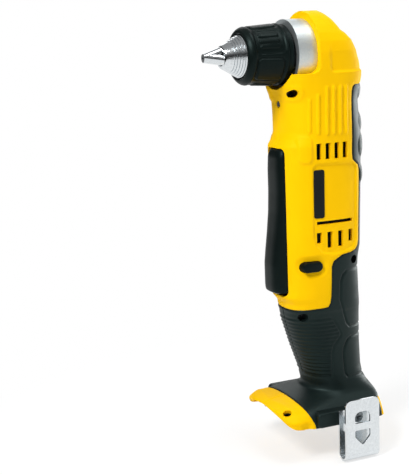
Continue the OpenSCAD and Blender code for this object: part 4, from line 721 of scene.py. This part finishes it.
def make_grip(name, near):
    """One cover's skin, with its panels, ribs, bumps and screw pockets, and its foot's pad."""
    grid, gap = snap_to_edge(base_skin, lambda g: grip_gaps(g, near))
    on_pocket = np.abs(gap)[..., None] < ON_EDGE
    ways = np.where(on_pocket, (0, -POCKET_DEPTH, 0), -COVER_WALL * base_normals)
    d = inside_outline(GRIP_OUTLINE, grid[..., 0], grid[..., 2])
    grid = grid + base_normals * grip_relief(grid, d)[..., None]
    keep = (cell_corners(d).min(axis=0) > -1.0) & (cell_corners(gap).sum(axis=0) <= 0)
    piece = skin_piece(name, mirrored(grid, near), keep, mirrored(ways, near), near)
    join(piece, foot_pad(name + "_pad", near))
    return piece


# Moulded thermoplastic rubber: a matt blue black with a soft sheen at the edges.
# Its grain is drawn at 0.5 mm.
grip_rubber, tree, shader, place = start_material(
    "black_rubber_overmould", IOR=1.5, Roughness=0.46, Specular_IOR_Level=0.32,
    Specular_Tint=linear("C4E6E2"))
moulded_finish(tree, shader, place, "081010", "0F1918", 0.5, 0.06, 0.46)
dress(make_grip("near_grip_cover", True), "tool", "grip_rubber", grip_rubber, "left_grip")
dress(make_grip("far_grip_cover", False), "tool", "grip_rubber", grip_rubber, "right_grip")

# Trigger. A long hollow lever of glass filled nylon on a pin at its top, with a crowned
# front that swells towards the fingertips.
TRIGGER_FRONT = 33.0
TRIGGER_BACK = -27.5
TRIGGER_HALF = 11.8
TRIGGER_FOOT = 90.441
TRIGGER_LENGTH = 99.0
TRIGGER_STAND = 2.6
TRIGGER_WALL = 2.2
TRIGGER_SQUARE = 3.2
# Share of its length from the foot, how far its front stands out, and its share of the width
TRIGGER_SHARES = np.array([
    (0, 2.1, 0.9), (0.006, 2.5, 0.95), (0.018, 2.75, 0.99), (0.05, 2.85, 1), (0.13, 2.85, 1),
    (0.2, 2.85, 1), (0.3, 2.4, 1), (0.42, 1.75, 1), (0.56, 1.15, 1), (0.7, 0.9, 1),
    (0.85, 0.95, 0.98), (0.95, 0.8, 0.93), (0.985, 0.35, 0.84), (1, -0.2, 0.72),
])


def make_trigger():
    """Rings of a crowned U section from the foot to the top, solid at both ends."""
    t = np.linspace(-math.pi / 2, math.pi / 2, 41)
    round_x = np.abs(np.cos(t)) ** (2 / TRIGGER_SQUARE)
    round_y = np.sign(np.sin(t)) * np.abs(np.sin(t)) ** (2 / TRIGGER_SQUARE)
    places, stands, widths = TRIGGER_SHARES.T
    rings = []
    for share in [*np.linspace(0, 0.1, 14), *np.linspace(0.115, 0.9, 60), *np.linspace(0.91, 1, 14)]:
        between = 0.02 < share < 0.98
        near = np.clip(share + np.linspace(-0.012, 0.012, 5), 0, 1) if between else share
        stand, wide = [np.mean(np.interp(near, places, values)) for values in (stands, widths)]
        half = wide * TRIGGER_HALF
        deep = TRIGGER_FRONT + stand * TRIGGER_STAND + TRIGGER_BACK
        hollow = max(deep - TRIGGER_WALL, 0) if between else 0.0
        x = TRIGGER_BACK - np.concatenate([deep * round_x, hollow * round_x[::-1]])
        y = np.concatenate([half * round_y, (half - TRIGGER_WALL) * round_y[::-1]])
        z = np.full(x.shape, TRIGGER_FOOT + share * TRIGGER_LENGTH)
        rings.append(np.stack([x, y, z], -1))
    return ring_piece("trigger_lever", np.array(rings))


dress(make_trigger(), "lever", "black_plastic", black_nylon, "trigger")

# Direction button. A nylon bar through the tool, with a pill shaped end on each side and a
# slimmer middle that leaves room for the pulled trigger.
BAR_END = 15.2
BAR_FRONT = -20.4


def make_button():
    """Rings of a pill section from one end to the other."""
    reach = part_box("direction_button")[1].y / MM
    end = [(1.1, reach), (0.35, reach - 0.25), (0, reach - 0.9), (0, BAR_END), (0, BAR_END - 0.4)]
    rings = []
    for inset, y in [(inset, -y) for inset, y in end] + end[::-1]:
        pill = arc(BUTTON[0] + BUTTON_RUN, BUTTON[1], BUTTON_RADIUS - inset, -90, 90, 17)
        pill += arc(BUTTON[0] - BUTTON_RUN, BUTTON[1], BUTTON_RADIUS - inset, 90, 270, 17)
        front = BAR_FRONT if abs(y) < BAR_END else UNCUT
        rings.append([(max(x, front), y, z) for x, z in pill])
    return ring_piece("direction_bar", np.array(rings))


dress(make_button(), "direction", "black_plastic", black_nylon, "direction_button")

# Rating plates. A bare strip of printed film with round corners, stuck into the moulded
# panel on each side and bent to follow it.
PLATE_LOW, PLATE_HIGH = (-16.2, 142.6), (-8.4, 175.4)
PLATE_CORNER = 1.6
PLATE_SUNK = 0.62
PLATE_FILM = 0.3


def make_plate(name, near):
    """Rows of points on the body's side, shorter at the round corners."""
    foot, top = PLATE_LOW[1], PLATE_HIGH[1]
    rows = []
    for z in [*np.linspace(foot, foot + PLATE_CORNER, 7), *np.linspace(foot + 3, top - 3, 24),
              *np.linspace(top - PLATE_CORNER, top, 7)]:
        end = PLATE_CORNER - min(z - foot, top - z, PLATE_CORNER)
        cut = PLATE_CORNER - math.sqrt(max(PLATE_CORNER ** 2 - end ** 2, 0))
        x = np.linspace(PLATE_LOW[0] + cut, PLATE_HIGH[0] - cut, 12)
        front, rear, half, power = section_at(z)[:4]
        middle, deep = (rear - front) / 2, (rear + front) / 2
        y = half * (1 - np.abs((x - middle) / deep) ** power) ** (1 / power) - PLATE_SUNK
        rows.append(np.stack([x, y, np.full(x.shape, z)], -1))
    return sheet_piece(name, np.array(rows), PLATE_FILM, near)


# Printed polyester film: smooth, flat black, with a clear gloss.
black_film, tree, shader, place = start_material(
    "black_film_printed", IOR=1.5, Roughness=0.22, Specular_IOR_Level=0.15)
moulded_finish(tree, shader, place, "0B0D0E", "131617", 3.0, 0.01, 0.24)
dress(make_plate("near_rating_plate", True), "tool", "black_plastic", black_film)
dress(make_plate("far_rating_plate", False), "tool", "black_plastic", black_film)

# Chuck sleeve and rear ring. A moulded nylon cup that turns on the chuck, with raised finger
# pads and sets of three ribs between them, and a plain nylon ring behind it.
SLEEVE_PADS = 6
SLEEVE_PAD = ((33.6, -8.0), (51.4, 8.0), 2.4)
PAD_RAISED, PAD_SUNK = 0.55, -0.35
PAD_GROOVE = 0.5
SLEEVE_RIBS = (-4.2, 0, 4.2)
RIB_FROM, RIB_TO, RIB_RADIUS, RIB_STAND = 37.0, 48.5, 1.2, 0.9
SLEEVE_BACK, SLEEVE_NOSE = 31, 54
SLEEVE_RADIUS, SLEEVE_TAPER = 20.7, 1.5
RELIEF_FROM, RELIEF_TO, RELIEF_LEAST = 31.5, 53.0, 16.5


def lathe(name, profile, turns=120, lift=None):
    """Turned piece on the chuck's axis: profile gives the way ahead of the body's axis and the radius."""
    profile = np.asarray(profile, float)
    angle = np.linspace(0, 2 * math.pi, turns, endpoint=False)
    ahead = np.repeat(profile[:, :1], turns, 1)
    radius = np.repeat(profile[:, 1:2], turns, 1)
    if lift is not None:
        radius = radius + lift(ahead, np.broadcast_to(angle, ahead.shape), radius)
    rings = np.stack([-ahead, radius * np.sin(angle), AXIS_Z + radius * np.cos(angle)], -1)
    return ring_piece(name, rings, (False, False))


def sleeve_relief(ahead, angle, radius):
    """How far the pads, the ribs and the ground between them lie from the plain sleeve."""
    around = angle / (2 * math.pi) * SLEEVE_PADS
    cell = np.round(around)
    across = (around - cell) * 2 * math.pi / SLEEVE_PADS * radius
    smooth = cell % 2 == 0
    pad = inside_box(ahead, across, *SLEEVE_PAD)
    lift = np.where(smooth, PAD_RAISED, PAD_SUNK) * ramp(pad, 1.0) - PAD_GROOVE * bell(pad + 0.9, 0.6)
    for offset in SLEEVE_RIBS:
        rib = inside_slot(ahead, across, RIB_FROM, offset, RIB_TO, offset, RIB_RADIUS)
        lift += RIB_STAND * ramp(rib, 0.9) * ~smooth
    # The pads' tops lie at the plain sleeve's radius
    lift = np.where(radius > RELIEF_LEAST, lift - PAD_RAISED, 0)
    return lift * ramp(ahead - RELIEF_FROM, 1.5) * ramp(RELIEF_TO - ahead, 2.0)


sleeve_profile = [(31, 15.5), (30, 17), (30, 20.1), (30.1, 20.4), (30.5, 20.65),
                  (SLEEVE_BACK, SLEEVE_RADIUS)]
for ahead in np.arange(SLEEVE_BACK + 0.5, SLEEVE_NOSE, 0.45):
    along = (ahead - SLEEVE_BACK) / (SLEEVE_NOSE - SLEEVE_BACK)
    sleeve_profile.append((ahead, SLEEVE_RADIUS - SLEEVE_TAPER * along))
sleeve_profile += [(SLEEVE_NOSE, SLEEVE_RADIUS - SLEEVE_TAPER), (55.0, 18.95), (55.9, 18.5), (56.7, 17.9),
                   (57.4, 17.2), (57.9, 16.6), (58, 16.0), (58, 15.2), (57.6, 15.1), (54, 15.1)]
dress(lathe("chuck_sleeve_cup", sleeve_profile, 300, sleeve_relief), "sleeve", "black_plastic",
      black_nylon, "chuck_sleeve")
ring_profile = [(29, 14), (29.8, 15), (29.85, 19.6), (29.6, 20.0), (26.4, 20.0), (26.0, 19.6), (26.0, 15),
                (27, 14)]
dress(lathe("chuck_rear_ring", ring_profile), "chuck", "black_plastic", black_nylon, "chuck_ring")

# Chuck nose and jaws. Turned and ground alloy steel, the nose with fine grooves, the
# jaws three rods that are ground to meet round the bit.
NOSE_GROOVES, GROOVE_PITCH = 5, 1.55
NOSE_BACK, NOSE_RADIUS, NOSE_SLOPE = 57.6, 14.4, 0.55

nose_profile = [(52, 14.5), (57.2, 14.5)]
for i in range(NOSE_GROOVES):
    a = NOSE_BACK + GROOVE_PITCH * i
    r = NOSE_RADIUS - (a - NOSE_BACK) * NOSE_SLOPE
    nose_profile += [(a, r), (a + 0.95, r - 0.5), (a + 1.05, r - 1.1), (a + 1.4, r - 1.25)]
nose_profile += [(65.4, 10.1), (67, 9.25), (68.6, 8.4), (69.8, 7.75), (70.3, 7.35), (70.5, 6.9),
                 (70.5, 5.6), (70.2, 5.3), (60, 5.3)]

# Bright nickel plate on ground steel: a clear mirror, dulled a little by turning lines, which
# are drawn at 1.2 mm so that they show.
plated_steel, tree, shader, place = start_material("nickel_plated_steel", Metallic=1.0, Roughness=0.16)
lines = mottled_tone(tree, shader, place, "C9CED1", "E6EAEC", 1.2, 3.0)
gloss = add_node(tree, "ShaderNodeMapRange", {"To Min": 0.1, "To Max": 0.24}, {"Value": lines})
tree.links.new(gloss.outputs["Result"], shader.inputs["Roughness"])
dress(lathe("chuck_nose", nose_profile, 160), "chuck", "plated_steel", plated_steel, "chuck_body")


def break_edges(piece, width, angle):
    """A fine break along the edges that are sharper than the angle."""
    edge = piece.modifiers.new("edge_break", "BEVEL")
    edge.width = width * MM
    edge.segments = 2
    edge.limit_method = "ANGLE"
    edge.angle_limit = math.radians(angle)
    edge.harden_normals = True


def refine(name, material, bevel=0.0, angle=35):
    """Keeps a node's own shape, with its material, smooth faces between its edges and broken edges."""
    node = nodes[name]
    node.data.materials.clear()
    node.data.materials.append(material)
    for face in node.data.polygons:
        face.use_smooth = True
        face.material_index = 0
    node.data.set_sharp_from_angle(angle=math.radians(angle))
    if bevel:
        break_edges(node, bevel, angle)


for jaw in ("jaw_top", "jaw_near", "jaw_far"):
    refine(jaw, plated_steel, 0.25)

# Gear case. A die casting of aluminium in the head, which carries the spindle's bearings. Its
# turned collar shows between the chuck and the housing.
# Shot blasted aluminium: pale grey, matt, with a fine speckle of 0.8 mm.
cast_aluminium, tree, shader, place = start_material("cast_aluminium_blasted", Metallic=1.0, Roughness=0.5)
speck = mottled_tone(tree, shader, place, "C2CBCD", "E0E6E7", 0.8, 4.0)
bump = add_node(tree, "ShaderNodeBump", {"Strength": 0.5, "Distance": 0.06 * MM}, {"Height": speck})
tree.links.new(bump.outputs["Normal"], shader.inputs["Normal"])
refine("gear_case", cast_aluminium, 0.5)

# Belt hook. A strip of spring steel, pierced with an arched and a shield shaped window,
# bent round at the foot and screwed to the foot's pad through its short leg.
HOOK_T = 1.4
HOOK_CORNER = 4.4
LEG_CORNER, LEG_TOP = 2, 9.1
WINDOW_CORNER, ARCH_CORNER = 0.8, 4.2
BEND_STEPS = 18
hook_low, hook_high = (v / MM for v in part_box("belt_hook"))
HOOK_X = (hook_low.x + hook_high.x) / 2
BEND_RADIUS = (hook_high.y - hook_low.y) / 2
BEND_Y, BEND_Z = (hook_high.y + hook_low.y) / 2, hook_low.z + BEND_RADIUS
HOOK_SCREW = (HOOK_X, 5.544)
SCREW_HOLE = 2.4


def plate(bm, outlines, y0, y1):
    """Flat sheet between two distances, from its outline and the outlines of its windows."""
    edges = []
    for outline in outlines:
        verts = [bm.verts.new((x * MM, y0 * MM, z * MM)) for x, z in outline]
        edges += [bm.edges.new((a, b)) for a, b in zip(verts, verts[1:] + verts[:1])]
    filled = bmesh.ops.triangle_fill(bm, edges=edges, use_beauty=True)["geom"]
    sheet = [g for g in filled if isinstance(g, bmesh.types.BMFace)]
    made = bmesh.ops.extrude_face_region(bm, geom=sheet, use_keep_orig=True)["geom"]
    moved = [g for g in made if isinstance(g, bmesh.types.BMVert)]
    bmesh.ops.translate(bm, verts=moved, vec=(0, (y1 - y0) * MM, 0))


def make_hook():
    """Outer face with its two windows, inner leg with its screw hole, and the bend between them."""
    left, right, top = hook_low.x, hook_high.x, hook_high.z
    foot = [(left, BEND_Z), (right, BEND_Z)]
    face = foot + arc(right - HOOK_CORNER, top - HOOK_CORNER, HOOK_CORNER, 0, 90)
    face += arc(left + HOOK_CORNER, top - HOOK_CORNER, HOOK_CORNER, 90, 180)
    arch = arc(-1.4, 4.0, WINDOW_CORNER, 180, 270, 4) + arc(9.0, 4.0, WINDOW_CORNER, 270, 360, 4)
    arch += arc(5.6, 7.1, ARCH_CORNER, 0, 90) + arc(2.0, 7.1, ARCH_CORNER, 90, 180)
    shield = arc(-1.4, -2.6, WINDOW_CORNER, 180, 90, 4) + arc(9.0, -2.6, WINDOW_CORNER, 90, 0, 4)
    shield += [(9.8, -6.2), (8.8, -7.7), (6.6, -10.1), (4.6, -12.0), (3.8, -12.4), (3.0, -12.0),
               (1.0, -10.1), (-1.2, -7.7), (-2.2, -6.2)]
    bm = bmesh.new()
    plate(bm, [face, arch, shield], hook_low.y, hook_low.y + HOOK_T)
    leg = foot + arc(right - LEG_CORNER, LEG_TOP, LEG_CORNER, 0, 90)
    leg += arc(left + LEG_CORNER, LEG_TOP, LEG_CORNER, 90, 180)
    plate(bm, [leg, arc(*HOOK_SCREW, SCREW_HOLE, 0, 345, 24)], hook_high.y - HOOK_T, hook_high.y)
    bend = arc(BEND_Y, BEND_Z, BEND_RADIUS, 180, 360, BEND_STEPS + 1)
    bend += arc(BEND_Y, BEND_Z, BEND_RADIUS - HOOK_T, 360, 180, BEND_STEPS + 1)
    ends = [[bm.verts.new((x * MM, y * MM, z * MM)) for y, z in bend] for x in (left, right)]
    for i in range(len(bend)):
        k = (i + 1) % len(bend)
        bm.faces.new((ends[0][i], ends[0][k], ends[1][k], ends[1][i]))
    for end in ends:
        for i in range(BEND_STEPS):
            bm.faces.new((end[i], end[i + 1], end[-2 - i], end[-1 - i]))
    piece = closed_piece("belt_hook_strip", bm, 35)
    break_edges(piece, 0.3, 40)
    return piece


dress(make_hook(), "tool", "plated_steel", plated_steel, "belt_hook")

# Fasteners, pins and springs. Cold headed screws, a ground pin and a coiled spring, all of
# steel with a thin coat of zinc.
# Zinc plate: grey, half bright, with a faint mottle of 2 mm.
zinc_steel, tree, shader, place = start_material("zinc_plated_steel", Metallic=1.0, Roughness=0.35)
mottled_tone(tree, shader, place, "6E7375", "8E9496", 2, 2.0)
for name in ("hook_screw", "housing_screws", "plunger_spring", "trigger_pin", "chuck_screw"):
    refine(name, zinc_steel, 0.12)

# Switch spring. The coil behind the switch's plunger, wound from drawn wire. It is pressed
# together between the plunger and the switch as the trigger is pulled.
spring = add_object("plunger_coil", nodes["plunger_spring"].data.copy())
spring.matrix_world = nodes["plunger_spring"].matrix_world
dress(spring, "tool", "spring_steel", zinc_steel, "plunger_spring")
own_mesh(spring)

# Bearings, gears and motor steel. Ground rings, hobbed teeth and rolled sheet inside the head
# and the body, pressed or keyed on their shafts.
# Machined steel: grey, half bright, with tool lines of 0.6 mm.
gear_steel, tree, shader, place = start_material("machined_gear_steel", Metallic=1.0, Roughness=0.3)
mottled_tone(tree, shader, place, "7C8285", "A3A9AC", 0.6, 2.0)
for name in ("front_bearing", "rear_bearing", "pinion_bearing", "ring_gear", "spindle", "bevel_gear",
             "bevel_pinion", "planet_carrier", "planet_front", "planet_near", "planet_far", "sun_gear",
             "rotor_shaft", "chuck_nut", "motor_plate", "motor_can", "armature"):
    refine(name, gear_steel)

# Motor and wiring. Ferrite magnets, carbon brushes, copper and brass contacts and dark
# nylon carriers, all inside the body.
# Each has a slight drift of tone over 1.5 mm, and the metals are half bright.
for label, dark, light, values, names in (
        ("sintered_ferrite", "2A2B2D", "3A3B3D", {"Roughness": 0.6}, ["motor_magnets"]),
        ("pressed_carbon", "161616", "242424", {"Roughness": 0.5}, ["motor_brushes"]),
        ("moulded_red_phenolic", "4A1512", "5E1E18", {"Roughness": 0.45}, ["switch_body"]),
        ("drawn_brass", "B08A45", "CFA65A", {"Metallic": 1.0, "Roughness": 0.28},
         ["terminal_blades", "hook_inserts"]),
        ("drawn_copper", "A8623C", "C27A50", {"Metallic": 1.0, "Roughness": 0.3}, ["commutator"]),
        ("extruded_red_insulation", "8A1712", "A3221A", {"Roughness": 0.4},
         ["battery_leads", "motor_leads"]),
        ("moulded_dark_nylon", "2A2D2E", "383C3D", {"Roughness": 0.45},
         ["motor_end_cap", "switch_plunger", "motor_fan", "terminal_block"]),
        ("moulded_dark_epoxy", "1C1E1F", "2A2D2E", {"Roughness": 0.4}, ["lamp"])):
    finish, tree, shader, place = start_material(label, **values)
    mottled_tone(tree, shader, place, dark, light, 1.5, 3.0)
    for name in names:
        refine(name, finish)

# Lamp lens. A small disc of smoked polycarbonate, pressed into the front of the neck over
# the work light.
# Moulded polycarbonate: dark and smooth, with a faint ripple of 2 mm.
smoked_lens, tree, shader, place = start_material(
    "smoked_polycarbonate_moulded", IOR=1.58, Roughness=0.12, Transmission_Weight=0.15,
    Specular_IOR_Level=0.1, Base_Color=linear("101415"))
ripple = add_node(tree, "ShaderNodeTexNoise", {"Scale": 1 / (2 * MM)}, {"Vector": place})
bump = add_node(tree, "ShaderNodeBump", {"Strength": 0.2, "Distance": 0.05 * MM},
                {"Height": ripple.outputs["Fac"]})
tree.links.new(bump.outputs["Normal"], shader.inputs["Normal"])
refine("lamp_lens", smoked_lens)

# Studio camera. It stands where the photograph was taken from, with its lens worked out for a frame of
# 409 by 475 pixels and the photograph's own middle of perspective off to the right.
FOCAL = 1088.4
LENS_TRIM = 0.992
SENSOR = 36
WIDE, TALL = 409, 475
PERSPECTIVE_X, PERSPECTIVE_Y = 319.46, 215.34
scene = bpy.context.scene
scene.view_settings.view_transform = "Standard"
target, distance = Vector((0, 0, 140)) * MM, 756.4 * MM
turn, lift, roll = math.radians(29.28), math.radians(9.92), math.radians(-1.30)
back = Vector((-math.sin(turn) * math.cos(lift), -math.cos(turn) * math.cos(lift), math.sin(lift)))
level = Vector((math.cos(turn), -math.sin(turn), 0))
above = back.cross(level)
right = level * math.cos(roll) + above * math.sin(roll)
up = above * math.cos(roll) - level * math.sin(roll)
yaw = math.atan((PERSPECTIVE_X - WIDE / 2) / FOCAL)
pitch = math.atan((TALL / 2 - PERSPECTIVE_Y) / FOCAL)
stand = Matrix((right, up, back)).transposed()
aim = stand @ Matrix.Rotation(yaw, 3, "Y") @ Matrix.Rotation(-pitch, 3, "X")
camera = add_object("camera", bpy.data.cameras.new("camera"))
camera.data.lens = FOCAL * LENS_TRIM / TALL * SENSOR
camera.matrix_world = Matrix.Translation(target + back * distance) @ aim.to_4x4()
scene.camera = camera

# Studio floor. A sheet of white paper just below the tool, which takes its shadow and fades
# to plain white away from it. The camera and reflections see the white.
FLOOR_HALF = 4.0
floor_z = cad_box[0].z - 0.5 * MM
FADE_FROM, FADE_TO, FADE_LEAST = 0.05, 0.28, 0.6


def stage_sheet(name, corners, material):
    """Flat sheet that isn't part of the tool."""
    mesh = bpy.data.meshes.new(name)
    mesh.from_pydata(corners, [], [(0, 1, 2, 3)])
    mesh.materials.append(material)
    sheet = add_object(name, mesh)
    return sheet


paper, tree, shader, place = start_material(
    "white_paper_floor", Roughness=0.9, Base_Color=linear("F4F5F5"))
path = add_node(tree, "ShaderNodeLightPath")
seen = add_node(tree, "ShaderNodeMath", {},
                {0: path.outputs["Is Camera Ray"], 1: path.outputs["Is Glossy Ray"]}, operation="MAXIMUM")
reach = add_node(tree, "ShaderNodeVectorMath", {}, {0: place}, operation="LENGTH")
fade = add_node(tree, "ShaderNodeMapRange",
                {"From Min": FADE_FROM, "From Max": FADE_TO, "To Min": FADE_LEAST, "To Max": 1.0},
                {"Value": reach.outputs["Value"]})
share = add_node(tree, "ShaderNodeMath", {}, {0: seen.outputs[0], 1: fade.outputs["Result"]},
                 operation="MULTIPLY")
glow = add_node(tree, "ShaderNodeEmission", {"Color": (1, 1, 1, 1), "Strength": 1.0})
mixed = add_node(tree, "ShaderNodeMixShader", {},
                 {0: share.outputs[0], 1: shader.outputs[0], 2: glow.outputs[0]})
tree.links.new(mixed.outputs[0], tree.nodes["Material Output"].inputs["Surface"])
stage_sheet("floor", [(x * FLOOR_HALF, y * FLOOR_HALF, floor_z)
                      for x, y in ((-1, -1), (1, -1), (1, 1), (-1, 1))], paper)

# Studio surround. White where the camera or glass looks at it. For the rest it is bright above
# and darker level with the tool, which gives bright metal its bands.
BANDS = [(0.0, 0.13), (0.1, 0.03), (0.3, 0.05), (0.5, 0.27), (0.8, 0.32)]
world = bpy.data.worlds.new("surround")
scene.world = world
world.use_nodes = True
tree = world.node_tree
path = add_node(tree, "ShaderNodeLightPath")
seen = add_node(tree, "ShaderNodeMath", {},
                {0: path.outputs["Is Camera Ray"], 1: path.outputs["Is Transmission Ray"]},
                operation="MAXIMUM")
way = add_node(tree, "ShaderNodeTexCoord").outputs["Generated"]
height = add_node(tree, "ShaderNodeSeparateXYZ", {}, {0: way}).outputs["Z"]
bands = add_node(tree, "ShaderNodeValToRGB", {}, {"Fac": height})
stops = bands.color_ramp.elements
stops.remove(stops[1])
for i, (position, grey) in enumerate(BANDS):
    stop = stops.new(position) if i else stops[0]
    stop.position, stop.color = position, (grey, grey, grey, 1)
tint = add_node(tree, "ShaderNodeMixRGB", {"Color2": (1, 1, 1, 1)},
                {"Fac": seen.outputs[0], "Color1": bands.outputs["Color"]})
tree.links.new(tint.outputs["Color"], tree.nodes["Background"].inputs["Color"])
tree.nodes["Background"].inputs["Strength"].default_value = 1.0

# Studio card. A sheet of black felt ahead of the chuck that only reflections see, which
# gives the bright nose its dark bands.
CARD_X = -0.5
felt, tree, shader, place = start_material(
    "black_felt_card", Roughness=1.0, Specular_IOR_Level=0.0, Base_Color=linear("050505"))
card = stage_sheet("dark_card", [(CARD_X, -0.75, 0.02), (CARD_X, 0.35, 0.02), (CARD_X, 0.35, 0.27),
                                 (CARD_X, -0.75, 0.27)], felt)
card.visible_camera = card.visible_shadow = card.visible_diffuse = card.visible_transmission = False

# Studio lamps. Five soft boxes: the key high on the chuck's side, one overhead, one low behind
# the grip, a weak fill from the front right and one from the far side.
for name, place, aim_at, size, power in (
        ("key", (-0.8, -0.4, 0.95), (0, 0, 0.15), 0.35, 12.5),
        ("top", (0.2, -0.25, 1.25), (0, 0, 0.2), 0.5, 5.0),
        ("side", (0.95, 0.1, 0.15), (0, 0, 0.08), 0.6, 9.0),
        ("fill", (0.75, -0.8, 0.4), (0, 0, 0.14), 0.6, 1.0),
        ("back", (0.4, 0.9, 0.6), (0, 0, 0.15), 0.8, 3.0)):
    lamp = bpy.data.lights.new(name, "AREA")
    lamp.energy = power
    lamp.size = size
    holder = add_object(name, lamp)
    holder.location = place
    holder.rotation_mode = "QUATERNION"
    holder.rotation_quaternion = (Vector(aim_at) - Vector(place)).to_track_quat("-Z", "Y")
